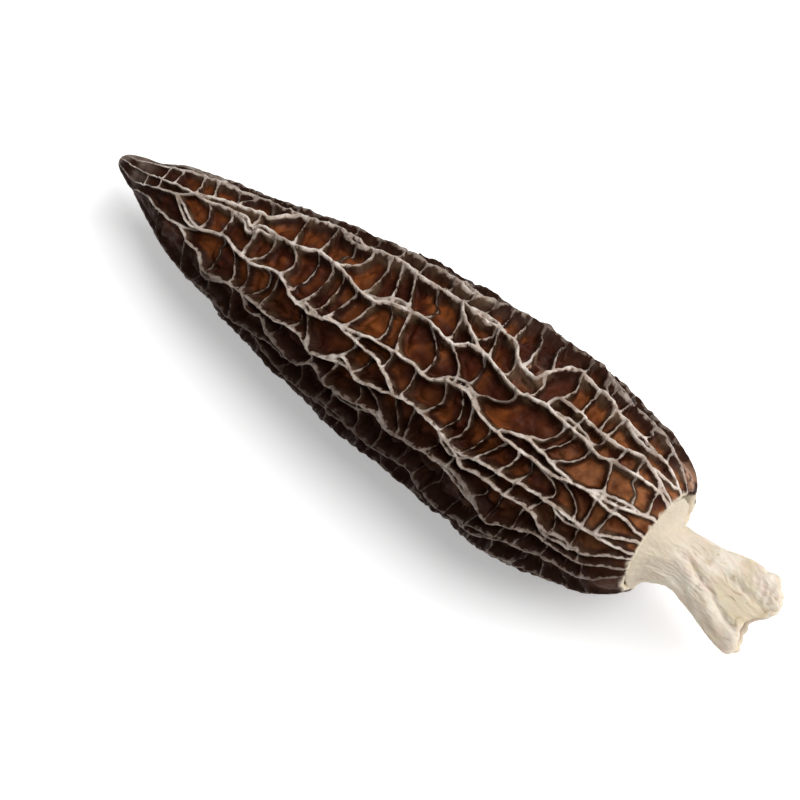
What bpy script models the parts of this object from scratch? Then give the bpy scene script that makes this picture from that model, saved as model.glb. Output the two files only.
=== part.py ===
"""A dried morel mushroom, lying on its side: a dark cap and a cream stem.

The cap carries a raised net. Long wavy ribs run from its tip to its base, and curved cross ridges join them
round deep pits with smooth floors. The stem has a narrow neck, and it is flattened and flared at its cut end.

Lengths are in millimetres until a mesh is made. "Along" is the distance along the cap's axis, counted from
where the ribs part, 1 mm below the very tip. "Run" is the distance from the tip down the cap's skin. "Turn" is
the angle round the axis, from the line that faces the viewer, and it grows towards the near, lower flank.
"""

import math
import random

import bpy
import numpy as np
from mathutils.geometry import delaunay_2d_cdt
from mathutils.kdtree import KDTree

MM = 0.001

# How the mushroom lies
FACING = math.radians(108.2)  # turn zero, measured from +Y towards +Z
PITCH = math.radians(3.8)  # the tip dips by this, so that the belly lies level
TIP_TO_MIDDLE = 42.0  # from where the ribs part back to the frame's origin, along +X
AXIS_HEIGHT = 7.4  # of the axis there, above the ground, which takes a little off the lowest crests

# The cap's skin, which the crests of the net lie on: along, radius
PROFILE = (
    (-1, 0), (-0.85, 0.5), (-0.3, 1.0), (1, 1.6), (3, 2.4), (4.9, 3.15), (7.4, 4.2), (10.3, 5.1), (14.2, 6.1),
    (18.5, 7.05), (24.3, 8.25), (33.6, 9.85), (42.5, 10.75), (51.5, 11.2), (57.2, 11.35), (61.5, 10.6),
    (65.5, 9.55), (68.2, 8.4), (69.9, 7.25), (70.7, 6.4), (70.9, 5.8), (70.4, 5.35), (69.7, 5.3),
)
RIM_ALONG = 70.9  # past the rim the skin turns in, to the socket that the stem stands in
# How far the middle of the cap sits above its straight axis, as the viewer sees it: along, offset
BEND = ((0, 0.05), (10, -0.3), (16, -0.55), (24, -0.1), (36, 0.1), (47, 0.45), (57, 0), (65, 0.25), (71, 0.1))
# Low swellings and dents of the whole skin: along, turn in degrees, width, height
LUMPS = (
    (52.5, -36, 3.5, 0.7), (61.5, -82, 2.5, -1.1), (34, -85, 7, 0.45), (30, 150, 6, 0.5), (48, 215, 7, -0.5),
    (20, 235, 5, 0.4),
)

# How deep the pits are: along, depth
PIT_DEPTH = ((-0.5, 0.1), (3, 0.5), (8, 1.1), (16, 1.7), (30, 2.2), (60, 2.3), (67, 2.0), (69.3, 1.4), (70.9, 0.5))
CREST_HALF_WIDTH = 0.12
WALL_WIDTH = 0.62
FLOOR_RISE = 0.14  # the middle of a pit's floor stands up by this share of its depth
FLOOR_RISE_WIDTH = 1.6
RUNG_SAG = 0.22  # the middle of a cross ridge lies lower than the ribs by this share of the depth
FULL_SIZE_RADIUS = 6.5  # walls and steps shrink with the radius towards the tip
SMALLEST_SCALE = 0.4

# The ribs crowd in towards turn zero near the tip: along, the share of its listed turn at which a rib stands
CROWDING = ((0, 0.8), (6, 0.86), (14, 0.92), (26, 0.94))
# Ribs on the side that shows: where each begins and ends, then its places as along and degrees of turn.
# "tip" and "base" are the cap's ends, and "rib" is a place on a rib that is already there.
RIBS = {
    "a": ("tip", "base", ((1.5, -95), (6, -86), (16, -88), (24, -84), (29.5, -79), (33, -73), (37, -71),
                          (41.5, -66), (44, -76), (48, -84), (53, -86), (58, -80), (62, -76), (69.5, -69))),
    "b": ("tip", "base", ((1.5, -50), (5, -61), (9, -66), (13, -66), (16.5, -69), (20.5, -63), (25, -66),
                          (29.5, -56), (33.5, -57), (35.5, -53), (41.5, -52), (44, -48), (48.5, -46),
                          (50.5, -36), (53, -33), (54, -42), (55, -56), (59, -57), (62, -53), (66, -52),
                          (69, -56))),
    "c": ("tip", "base", ((1.5, -8), (5, -19), (8, -24), (12, -25), (16.5, -31), (18, -24), (19, -30),
                          (20.5, -27), (23, -26), (26, -30), (28, -28), (31.5, -22), (34.5, -19),
                          (35.5, -23), (41, -26), (44, -22), (46, -28), (50.5, -23), (52.5, -20), (56, -24),
                          (58, -23), (61.5, -22), (62.5, -20), (66, -24), (69.5, -33))),
    "d": ("tip", "base", ((1.5, 40), (3.5, 24), (5, 4), (8, -7), (9, -1), (11, 12), (12.5, 11), (15, 0),
                          (16, -3), (19.5, 6), (24, 1), (26.5, 10), (28.5, 12), (34, 5), (39.5, 1), (42, 1),
                          (44, 3), (46.5, -2), (48.5, -3), (51, 3), (56.5, 4), (61, 5), (63.5, 2), (67, -1),
                          (69, -6), (70.5, -11))),
    "e": ("tip", "base", ((1.5, 82), (4, 42), (5.5, 33), (9, 28), (10.5, 24), (12.5, 29), (14.5, 31),
                          (15.5, 41), (18, 38), (19.5, 34), (25.5, 33), (29, 28), (31.5, 33), (35.5, 26),
                          (38, 28), (42, 23), (45, 21), (48.5, 25), (51, 27), (54, 23), (61, 20), (65.5, 24),
                          (67.5, 26))),
    "f": ("tip", "base", ((1.5, 128), (5, 104), (10, 88), (14.5, 74), (18, 66), (20.5, 68), (23, 61),
                          (26.5, 53), (30, 51), (32.5, 41), (34.5, 46), (37.5, 44), (41, 40), (43, 45),
                          (48.5, 41), (52.5, 43), (57, 51), (60, 46), (62, 44), (67, 51), (69, 46))),
    "g": ("rib", "base", ((24, 59), (27, 70), (31, 72), (35.5, 65), (43.5, 65), (46, 61), (50, 76), (55.5, 69),
                          (60, 59), (64.5, 60), (67, 65), (70.5, 57))),
    "c high": ("rib", "rib", ((10, -25), (13, -35), (17, -42), (18.5, -43), (19.5, -51), (20.5, -63))),
    "b fall": ("rib", "rib", ((41.5, -52), (43, -41), (46, -31), (47.5, -26))),
    "b low": ("rib", "base", ((56, -24), (56.5, -32), (62, -32), (65, -36), (66, -40), (70, -38))),
    "b link": ("rib", "rib", ((67.5, -40), (68.5, -43), (70, -49), (70.5, -57))),
    "d low": ("rib", "rib", ((31, 6), (37, 9), (39.5, 13), (42, 23))),
    "d high": ("rib", "rib", ((53.5, 2), (56.5, -3), (60.5, 1), (63, 3))),
    "d fork": ("rib", "base", ((64.5, 2), (66, 4), (69, 4), (70, 7))),
    "e low": ("rib", "base", ((50.5, 27), (52, 32), (54, 30), (61, 32), (62.5, 40), (65.5, 43), (67, 42),
                              (70, 33))),
    "e fork": ("rib", "base", ((67, 25), (69, 18), (70.5, 14))),
    "f high": ("rib", "rib", ((21.5, 35), (23, 43), (24.5, 39), (25.5, 45), (29.5, 51))),
}
# Cross ridges on that side, between two ribs: along where each leaves the first, along where it meets the
# second, and how far it bows towards the base
RUNGS = {
    ("a", "b"): ((5, 5, 0), (8.5, 9, 0), (12, 12.5, 0), (16, 16.5, 0.5), (19.5, 19, 0), (23, 23.5, 0.5),
                 (26, 26.5, 0), (29, 29, 0), (32, 32.5, 0), (35, 35.5, 0), (38.5, 39, 0.5), (41.5, 41.5, 0),
                 (43.5, 44, 0), (47, 48.5, 0), (48.5, 51.5, 0.5), (51.5, 54, -0.5), (55, 56, 0),
                 (58.5, 60.5, 0), (61, 61.5, 0), (64.5, 65, 0.5), (67.5, 68, 0)),
    ("b", "c"): ((5, 5.5, 0), (6.5, 7, 0), (9, 10, 0), (21.5, 23, 0), (25, 26, 0), (30, 28.5, 1),
                 (32, 33, 0.5), (33.5, 36, 0), (35.5, 38, 0), (46.5, 48, 0)),
    ("b", "c high"): ((10.5, 12, 0), (15.5, 15, -0.5)),
    ("c high", "c"): ((17.5, 18, 0),),
    ("b", "b low"): ((56, 56.5, 0.5), (58.5, 59, 0), (61, 61.5, 0), (62.5, 62.5, 0)),
    ("b fall", "c"): ((42.5, 43.5, 0),),
    ("b low", "c"): ((59.5, 59.5, 0), (62.5, 61.5, 0.5), (64.5, 64, 0.5), (66.5, 67, 0), (69, 69.5, 0)),
    ("c", "d"): ((3.5, 4, 0), (5.5, 5.5, 0), (10, 8, 0), (12, 13, 0.5), (15, 15.5, 0), (18.5, 19, 0),
                 (20.5, 20, 1), (23, 24, 1), (28, 27.5, 1), (32, 31.5, 0), (34.5, 33.5, 0), (38.5, 40, -0.5),
                 (44, 47, 0.5), (52.5, 47.5, 2), (64.5, 66, 0), (69.5, 70, 0)),
    ("c", "d high"): ((58.5, 55.5, 1.5), (62, 59.5, 1)),
    ("d", "e"): ((13, 10.5, 0.5), (19.5, 21, 0.5), (24, 24, 0), (28.5, 31, 0), (35.5, 34, 0.5),
                 (42.5, 43, 0), (46, 45.5, 1), (49.5, 49.5, 1), (55, 53, 0), (56.5, 55.5, 0.5), (58.5, 61, 2),
                 (61.5, 64.5, 1), (65.5, 65.5, 0), (67.5, 67, 0)),
    ("d", "d low"): ((39.5, 39.5, 0),),
    ("e", "e low"): ((58, 57.5, 0), (65.5, 65.5, 0)),
    ("e low", "f"): ((60, 59.5, 0), (63, 63, 0), (66.5, 66.5, 0)),
    ("e", "f"): ((7, 7.5, 0), (12, 12.5, 0), (16.5, 17, 0), (20, 20.5, 0), (31.5, 31.5, 0.5), (35, 34, 0),
                 (38, 43, 0.5), (44.5, 45, 0), (50, 50.5, 0.5)),
    ("f", "g"): ((30.5, 31, 0.5), (36, 35.5, 0), (39, 39.5, 0), (42.5, 42, 0), (46, 45, 0), (50.5, 48.5, 0.5),
                 (56, 54.5, 0), (63.5, 63, 0), (67, 67.5, 0)),
}

# Ribs on the far side follow a rule: the distance from the tip at which each parts from its neighbour
FAR_RIB_STARTS = (0, 26, 8, 0, 30, 11, 0, 23)
FAR_RIB_PARTING = 9.0  # how far a new rib runs before it stands at its full spacing
FAR_RIB_STEP = 2.4
FAR_WAVES = ((17.0, 0.16), (7.5, 0.1))  # wave length along, share of the spacing
FAR_RUNG_STEP = 3.1
FAR_RUNG_LEAST_GAP = 1.7
FAR_RUNG_SLANT = 0.45
FAR_RUNG_MOST_BOW = 1.1
SEED = 41

# The mesh of the cap
TIP_RUN = 0.45
CREST_STEP = 1.2
WELD = 0.5  # crests nearer to each other than this share a place
FOOT_SHARES = (1.0, 0.72, 0.5)  # where a wall's foot has no room, it moves in towards the crest
FOOT_SPACING = 0.66
FLOOR_STEP = 1.7
END_MARGIN = 0.35  # no place between the crests is nearer than this to the rings at the cap's ends
FIELD_STEP = 0.3
NEAR_CUT = 1e-3  # turns this near to the cut are on it
SAME_RUN = 1e-6

# The stem: along, half its width, half its thickness, and how far its middle sits above the cap's axis
STEM = (
    (70, 4.9, 4.9, 0.15), (70.6, 4.75, 4.8, 0), (71.3, 3.7, 3.9, -0.45), (72.2, 3.35, 3.3, -0.45),
    (73.4, 3.05, 2.95, -0.3), (74.9, 3.05, 2.75, -0.15), (76.4, 3.3, 2.65, -0.25), (78.2, 3.8, 2.6, -0.35),
    (79.8, 4.2, 2.55, -0.5), (81.7, 4.55, 2.5, -0.6), (82.4, 4.65, 2.5, -0.65), (83.1, 4.6, 2.45, -0.65),
)
STEM_AROUND = 40
STEM_RING_STEP = 0.7
STEM_WAIST = 0.34  # the share of the thickness that the trough in the flare takes away
STEM_WAIST_FROM = 76.0
STEM_WAIST_FULL = 81.0
# The cut end: height above the stem's middle, and how far it reaches past the last ring there
STEM_END = (
    (-4.8, 0), (-4.0, 0.7), (-2.5, 0.1), (-1.2, -0.1), (-0.4, 0.2), (0.6, 1.0), (2.1, 1.8), (3.4, 1.3), (4.8, 0),
)
STEM_END_RUN = 5.0  # the cut end's shape fades out over this length
# Lengthwise folds: how many go round, how far they twist in a millimetre, how high, and the length of a swell
STEM_FOLDS = ((3, 0.1, 0.16, 9), (5, -0.07, 0.14, 6), (8, 0.05, 0.1, 5), (13, -0.04, 0.06, 4))
STEM_FOLD_DRIFT = 0.4  # how unevenly the folds are spread round the stem
# The main crease on the side that shows: along, height above the stem's middle
STEM_CREASE = ((73.4, 0.6), (75.2, 0.2), (76.8, -0.4), (78.3, -0.8), (80.2, -1.6), (81.5, -2.1), (83, -2.3))
STEM_CREASE_DEPTH = 0.45
STEM_CREASE_WIDTH = 0.55
SLIT_WALL = 0.9
SLIT_DEPTH = 7.0
SLIT_RINGS = 5
SLIT_LIP = 0.15  # how far the slit's edge lies inside the cut end

CAP_COLOUR = (0.055, 0.026, 0.013, 1)
CAP_ROUGHNESS = 0.62
STEM_COLOUR = (0.72, 0.64, 0.5, 1)
STEM_ROUGHNESS = 0.85
GROUND_SIZE = 100.0


def clear_scene():
    for obj in list(bpy.data.objects):
        bpy.data.objects.remove(obj, do_unlink=True)


def material(name, colour, roughness):
    made = bpy.data.materials.new(name)
    made.use_nodes = True
    shader = made.node_tree.nodes["Principled BSDF"]
    shader.inputs["Base Color"].default_value = colour
    shader.inputs["Roughness"].default_value = roughness
    shader.inputs["Metallic"].default_value = 0
    return made


def read_table(table, at, column=1):
    """The value of a column of the table at each distance, in straight steps between its rows."""
    rows = np.array(table, float)
    return np.interp(at, rows[:, 0], rows[:, column])


def smooth_line(points, steps, scale=1.0):
    """A curve through all the points. The scale brings the second coordinate to the first one's size."""
    points = np.array(points, float)
    chords = np.hypot(*(np.diff(points, axis=0) * (1, scale)).T)
    knots = np.concatenate([[0], np.cumsum(np.sqrt(chords))])
    slopes = np.gradient(points, knots, axis=0)
    span, share = np.meshgrid(np.arange(len(points) - 1), np.arange(steps) / steps, indexing="ij")
    span, share = span.ravel(), share.ravel()[:, None]
    width = np.diff(knots)[span][:, None]
    curve = (
        (2 * share**3 - 3 * share**2 + 1) * points[span]
        + (share**3 - 2 * share**2 + share) * width * slopes[span]
        + (3 * share**2 - 2 * share**3) * points[span + 1]
        + (share**3 - share**2) * width * slopes[span + 1]
    )
    return np.vstack([curve, points[-1:]])


def smooth_step(low, high, value):
    share = np.clip((value - low) / (high - low), 0, 1)
    return share * share * (3 - 2 * share)


def lie_down(along, above, across):
    """Places beside the axis, in the frame that the mushroom lies in.

    Above points to the top edge that the viewer sees, and across points to the viewer.
    """
    y = above * math.cos(FACING - math.pi / 2) + across * math.cos(FACING)
    z = above * math.sin(FACING - math.pi / 2) + across * math.sin(FACING)
    x = along * math.cos(PITCH) - z * math.sin(PITCH)
    z = along * math.sin(PITCH) + z * math.cos(PITCH)
    return np.stack([x - TIP_TO_MIDDLE, y, z + AXIS_HEIGHT], axis=-1)


class Skin:
    """The smooth closed surface that the crests of the net lie on, and its flat map."""

    def __init__(self):
        self.along, self.radius = smooth_line(PROFILE, 12).T
        step = np.hypot(np.diff(self.along), np.diff(self.radius))
        self.run = np.concatenate([[0], np.cumsum(step)])
        self.lean = np.unwrap(np.arctan2(np.gradient(self.radius, self.run), np.gradient(self.along, self.run)))
        middle = np.maximum((self.radius[1:] + self.radius[:-1]) / 2, 0.05)
        self.map_length = np.concatenate([[0], np.cumsum(step / middle)])
        self.to_rim = int(np.argmax(self.along)) + 1
        self.end = self.run[-1]

    def run_at(self, along):
        return np.interp(along, self.along[: self.to_rim], self.run[: self.to_rim])

    def read(self, values, run):
        return np.interp(run, self.run, values)

    def scale(self, run):
        return np.clip(self.read(self.radius, run) / FULL_SIZE_RADIUS, SMALLEST_SCALE, 1)

    def points(self, run, turn, sunk=0.0):
        """Places on the skin, or sunk below it, in the lying frame."""
        run, turn = np.asarray(run, float), np.asarray(turn, float)
        lean = self.read(self.lean, run)
        along = self.read(self.along, run)
        radius = self.read(self.radius, run)
        for at, degrees, width, height in LUMPS:
            sideways = np.angle(np.exp(1j * (turn - math.radians(degrees)))) * radius
            radius = radius + height * np.exp(-((along - at) ** 2 + sideways**2) / width**2)
        radius = radius - sunk * np.cos(lean)
        middle = read_table(BEND, along)
        along = along + sunk * np.sin(lean)
        return lie_down(along, middle - radius * np.sin(turn), radius * np.cos(turn))


class Net:
    """The crests of the cap's net as numbered places on the skin and the edges between them."""

    def __init__(self, skin):
        self.skin = skin
        self.paths = {}
        self.run, self.turn, self.sag, self.spots = [], [], [], []
        self.edges = []

    def nearest(self, run, turn):
        """The number of the nearest place there is, and how far off it is."""
        if not self.spots:
            return 0, math.inf
        away = np.linalg.norm(np.array(self.spots) - self.skin.points(run, turn), axis=1)
        number = int(np.argmin(away))
        return number, away[number]

    def place(self, run, turn, sag, weld):
        number, away = self.nearest(run, turn)
        if away <= weld:
            return number
        self.run.append(float(run))
        self.turn.append(float(turn))
        self.sag.append(float(sag))
        self.spots.append(self.skin.points(run, turn))
        return len(self.run) - 1

    def lay(self, run, turn, sag=0.0):
        """Lays a crest along a finely drawn line, whose middle sags by that share of the depth."""
        spots = self.skin.points(run, turn)
        length = np.concatenate([[0], np.cumsum(np.linalg.norm(np.diff(spots, axis=0), axis=1))])
        scale = float(self.skin.scale(run).mean())
        count = max(1, round(length[-1] / (CREST_STEP * scale)))
        at = np.linspace(0, length[-1], count + 1)
        low = sag * np.sin(math.pi * np.linspace(0, 1, count + 1))
        chain = []
        for r, t, s in zip(np.interp(at, length, run), np.interp(at, length, turn), low):
            number = self.place(r, t, s, WELD * scale)
            if not chain or chain[-1] != number:
                chain.append(number)
        self.edges += zip(chain, chain[1:])

    def rib(self, name, begins, ends, places):
        """A rib through its places. An end that meets another rib goes to that rib's nearest place."""
        line = smooth_line([(along, math.radians(degrees)) for along, degrees in places], 6, 10.0)
        along, turn = line.T
        run = self.skin.run_at(along)
        if begins == "tip":
            run, turn = np.concatenate([[TIP_RUN], run]), np.concatenate([turn[:1], turn])
        if ends == "base":
            run, turn = np.concatenate([run, [self.skin.end]]), np.concatenate([turn, turn[-1:]])
        onward = np.concatenate([[True], np.diff(np.maximum.accumulate(run)) > SAME_RUN])
        run, turn = run[onward], turn[onward]
        for met, end in ((begins, 0), (ends, -1)):
            if met == "rib":
                number, _ = self.nearest(run[end], turn[end])
                run[end], turn[end] = self.run[number], self.turn[number]
        self.paths[name] = (run, turn)
        self.lay(run, turn)

    def rung(self, first, second, leaves, meets, bow):
        """A cross ridge from one rib to the next, bowed towards the base."""
        run = self.skin.run_at(np.array([leaves, meets]))
        near = [np.interp(r, *self.paths[name]) for r, name in zip(run, (first, second))]
        ends = [self.nearest(r, t)[0] for r, t in zip(run, near)]
        run = np.array([self.run[number] for number in ends])
        turn = np.array([self.turn[number] for number in ends])
        turn += 2 * math.pi * np.round((near - turn) / (2 * math.pi))
        share = np.linspace(0, 1, 9)
        bowed = run[0] + (run[1] - run[0]) * share + bow * np.sin(math.pi * share)
        self.lay(np.clip(bowed, TIP_RUN, self.skin.end), turn[0] + (turn[1] - turn[0]) * share, RUNG_SAG)


def far_ribs(net, rng):
    """Ribs round the far side, evenly spaced from the last that shows to the first, with a wave in each."""
    along = np.arange(1.5, RIM_ALONG, FAR_RIB_STEP)
    run = net.skin.run_at(along)
    low = np.where(run < net.paths["g"][0][0], np.interp(run, *net.paths["f"]), np.interp(run, *net.paths["g"]))
    high = np.interp(run, *net.paths["a"]) + 2 * math.pi
    gaps = []
    for start in (*FAR_RIB_STARTS, 0):
        gap = np.ones(len(along)) if start == 0 else smooth_step(start, start + FAR_RIB_PARTING, along)
        for wave_length, share in FAR_WAVES:
            gap = gap * (1 + share * np.sin(2 * math.pi * (along / wave_length + rng.random())))
        gaps.append(gap * rng.uniform(0.85, 1.15))
    shares = np.cumsum(gaps, axis=0) / np.sum(gaps, axis=0)
    for number, start in enumerate(FAR_RIB_STARTS):
        turn = low + (high - low) * shares[number]
        shown = along >= start
        places = list(zip(along[shown], np.degrees(turn[shown])))
        net.rib(f"far {number}", "rib" if start else "tip", "base", places)
        net.paths[f"far {number}"] = (run, turn)
    net.paths["far low"] = (run, low)
    net.paths["far high"] = (run, high)


def far_rungs(net, rng):
    """Cross ridges between the far ribs, at uneven steps, bowed towards the base."""
    names = ["far low", *(f"far {number}" for number in range(len(FAR_RIB_STARTS))), "far high"]
    for first, second in zip(names, names[1:]):
        along = 3.0 + rng.random() * 2
        while along < RIM_ALONG - 2:
            run = net.skin.run_at(along)
            radius = float(net.skin.read(net.skin.radius, run))
            gap = (np.interp(run, *net.paths[second]) - np.interp(run, *net.paths[first])) * radius
            scale = float(net.skin.scale(run))
            if gap > FAR_RUNG_LEAST_GAP * scale:
                slant = rng.gauss(0, FAR_RUNG_SLANT) * scale
                bow = rng.uniform(0, FAR_RUNG_MOST_BOW) * scale
                net.rung(first, second, along - slant, along + slant, bow)
            along += FAR_RUNG_STEP * scale * rng.uniform(0.65, 1.4)


def draw_net(skin):
    net = Net(skin)
    for name, (begins, ends, places) in RIBS.items():
        net.rib(name, begins, ends, [(along, turn * read_table(CROWDING, along)) for along, turn in places])
    rng = random.Random(SEED)
    far_ribs(net, rng)
    for (first, second), rungs in RUNGS.items():
        for leaves, meets, bow in rungs:
            net.rung(first, second, leaves, meets, bow)
    far_rungs(net, rng)
    return net


def ends_of(net, first, second):
    """The run and turn of both ends of an edge, with the turns less than half a turn apart."""
    run = np.array([net.run[first], net.run[second]])
    turn = np.array([net.turn[first], net.turn[second]])
    turn[1] += 2 * math.pi * round((turn[0] - turn[1]) / (2 * math.pi))
    return run, turn


class Relief:
    """How far the surface lies below the skin, from the distance to the nearest crest."""

    def __init__(self, net):
        self.skin = net.skin
        spots, sag = [], []
        for first, second in net.edges:
            run, turn = ends_of(net, first, second)
            ends = self.skin.points(run, turn)
            count = 1 + math.ceil(float(np.linalg.norm(ends[1] - ends[0])) / FIELD_STEP)
            share = np.linspace(0, 1, count + 1)
            spots.append(self.skin.points(np.interp(share, (0, 1), run), np.interp(share, (0, 1), turn)))
            sag.append(np.interp(share, (0, 1), (net.sag[first], net.sag[second])))
        self.sag = np.concatenate(sag)
        self.tree = KDTree(len(self.sag))
        for number, spot in enumerate(np.vstack(spots)):
            self.tree.insert(spot, number)
        self.tree.balance()

    def nearest(self, run, turn):
        """How far off the nearest crest is, and how much it sags there."""
        found = [self.tree.find(spot) for spot in self.skin.points(run, turn)]
        return np.array([away for _, _, away in found]), self.sag[[number for _, number, _ in found]]

    def sunk(self, run, turn):
        away, sag = self.nearest(run, turn)
        away = away / self.skin.scale(run)
        fall = smooth_step(CREST_HALF_WIDTH, WALL_WIDTH, away)
        rise = FLOOR_RISE * smooth_step(WALL_WIDTH, FLOOR_RISE_WIDTH, away)
        depth = read_table(PIT_DEPTH, self.skin.read(self.skin.along, run))
        depth = depth * (1 - smooth_step(self.skin.run_at(RIM_ALONG), self.skin.end, run))
        return depth * (sag + (1 - sag) * fall - rise)


def wall_feet(net):
    """Places wanted at the foot of each wall, on both sides of every edge: run, turn, least room."""
    wanted = []
    for share in FOOT_SHARES:
        for first, second in net.edges:
            run, turn = ends_of(net, first, second)
            radius = float(net.skin.read(net.skin.radius, run.mean()))
            way = np.array([run[1] - run[0], (turn[1] - turn[0]) * radius])
            way /= np.hypot(*way)
            reach = WALL_WIDTH * share * float(net.skin.scale(run.mean()))
            for side in (-reach, reach):
                wanted.append((run.mean() - way[1] * side, turn.mean() + way[0] * side / radius, reach * 0.9))
    return wanted


def corner_feet(net):
    """Places wanted in the corners of the pits, between each two crests that meet: run, turn, least room."""
    ways = {}
    for pair in net.edges:
        for here, there in (pair, pair[::-1]):
            run, turn = ends_of(net, here, there)
            radius = float(net.skin.read(net.skin.radius, run[0]))
            way = math.atan2((turn[1] - turn[0]) * radius, run[1] - run[0])
            ways.setdefault(here, set()).add(round(way, 4))
    wanted = []
    for here, angles in ways.items():
        angles = sorted(angles)
        if len(angles) < 3:
            continue
        radius = float(net.skin.read(net.skin.radius, net.run[here]))
        reach = WALL_WIDTH * float(net.skin.scale(net.run[here]))
        for low, high in zip(angles, angles[1:] + [angles[0] + 2 * math.pi]):
            middle = (low + high) / 2
            away = reach / max(math.sin(min((high - low) / 2, math.pi / 2)), 0.42)
            turn = net.turn[here] + math.sin(middle) * away / radius
            wanted.append((net.run[here] + math.cos(middle) * away, turn, reach * 0.6))
    return wanted


def floor_places(net):
    """Places wanted all over the floors, in uneven rings: run, turn, least room."""
    wanted = []
    rng = random.Random(SEED)
    run = TIP_RUN
    while run < net.skin.end:
        radius = float(net.skin.read(net.skin.radius, run))
        step = FLOOR_STEP * float(net.skin.scale(run))
        count = max(6, round(2 * math.pi * radius / step))
        shift = rng.random()
        for number in range(count):
            turn = 2 * math.pi * (number + shift) / count
            wanted.append((run + rng.uniform(-0.2, 0.2) * step, turn, step * 0.7))
        run += step
    return wanted


def places_between(net, relief):
    """Places between the crests: the corners of the pits first, then the walls' feet, then the floors."""
    wanted = corner_feet(net) + wall_feet(net) + floor_places(net)
    wanted = [w for w in wanted if TIP_RUN + END_MARGIN < w[0] < net.skin.end - END_MARGIN]
    run, turn, least = np.array(wanted).T
    spacing = FOOT_SPACING * net.skin.scale(run)
    spots = net.skin.points(run, turn)
    kept = []
    for number in np.flatnonzero(relief.nearest(run, turn)[0] >= least):
        others = np.linalg.norm(spots[kept] - spots[number], axis=1)
        if (others >= spacing[number]).all():
            kept.append(int(number))
    return run[kept], turn[kept]


def cut_turn(net, run):
    """The turn of rib a, where the flat map is cut open."""
    return np.interp(run, *net.paths["a"])


def map_edges(net, turn, copies, flat_run, flat_turn):
    """The net's edges and the rings at both ends, as pairs of places on the flat map."""
    edges = set()
    for first, second in net.edges:
        if first in copies and second in copies:
            edges.add((copies[first], copies[second]))
        elif first in copies and turn[second] - turn[first] > math.pi:
            first = copies[first]
        elif second in copies and turn[first] - turn[second] > math.pi:
            second = copies[second]
        edges.add((first, second))
    for end_run in (TIP_RUN, net.skin.end):
        ring = np.flatnonzero(np.abs(flat_run - end_run) < SAME_RUN)
        ring = ring[np.argsort(flat_turn[ring])].tolist()
        edges.update(zip(ring, ring[1:]))
    return sorted(edges)


def cap_mesh(skin):
    """Points in the lying frame and triangles, from a flat map of the skin that is cut open along rib a."""
    net = draw_net(skin)
    relief = Relief(net)
    more_run, more_turn = places_between(net, relief)
    run = np.concatenate([net.run, more_run])
    cut = cut_turn(net, run)
    turn = cut + np.mod(np.concatenate([net.turn, more_turn]) - cut + NEAR_CUT / 2, 2 * math.pi) - NEAR_CUT / 2
    on_cut = np.flatnonzero(np.abs(turn - cut) < NEAR_CUT)
    copies = {int(number): len(run) + k for k, number in enumerate(on_cut)}
    flat_run = np.concatenate([run, run[on_cut]])
    flat_turn = np.concatenate([turn, turn[on_cut] + 2 * math.pi])

    edges = map_edges(net, turn, copies, flat_run, flat_turn)
    flat = list(zip(flat_turn.tolist(), skin.read(skin.map_length, flat_run).tolist()))
    made, _, triangles, sources, *_ = delaunay_2d_cdt(flat, edges, [], 0, SAME_RUN)

    original = {copy: number for number, copy in copies.items()}
    made_turn, made_map = np.array([tuple(place) for place in made]).T
    made_run = np.interp(made_map, skin.map_length, skin.run)
    number = [original.get(source[0], source[0]) if source else None for source in sources]
    crossings = [index for index, known in enumerate(number) if known is None]
    for index in crossings:
        number[index] = len(run) + crossings.index(index)
    run, turn = np.append(run, made_run[crossings]), np.append(turn, made_turn[crossings])

    faces = []
    for triangle in triangles:
        middle_turn = made_turn[triangle].mean()
        cut = cut_turn(net, np.interp(made_map[triangle].mean(), skin.map_length, skin.run))
        face = [number[corner] for corner in triangle]
        if cut < middle_turn < cut + 2 * math.pi and len(set(face)) == 3:
            faces.append(face)
    points = skin.points(run, turn, relief.sunk(run, turn))
    return close_ends(points, faces, run, turn, skin)


def close_ends(points, faces, run, turn, skin):
    """A fan over the blunt tip and one over the socket that the stem stands in."""
    for end_run, centre_along in ((TIP_RUN, PROFILE[0][0]), (skin.end, PROFILE[-1][0])):
        ring = np.flatnonzero(np.abs(run - end_run) < SAME_RUN)
        ring = ring[np.argsort(turn[ring])].tolist()
        centre = lie_down(centre_along, read_table(BEND, centre_along), 0.0)
        points = np.vstack([points, centre])
        for first, second in zip(ring, ring[1:] + ring[:1]):
            pair = (second, first) if end_run == TIP_RUN else (first, second)
            faces.append([*pair, len(points) - 1])
    return points, faces


def stem_folds(around, along):
    """The height of the lengthwise folds, which drift round the stem and swell and fade along it."""
    around = around + STEM_FOLD_DRIFT * np.sin(around + along / 3) + STEM_FOLD_DRIFT / 2 * np.sin(2 * around)
    height = 0
    for count, twist, high, swell in STEM_FOLDS:
        strength = 0.65 + 0.35 * math.sin(2 * math.pi * along / swell + count)
        height = height + high * strength * np.sin(count * (around + twist * along))
    return height * float(smooth_step(STEM[0][0], STEM[2][0], along))


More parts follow.
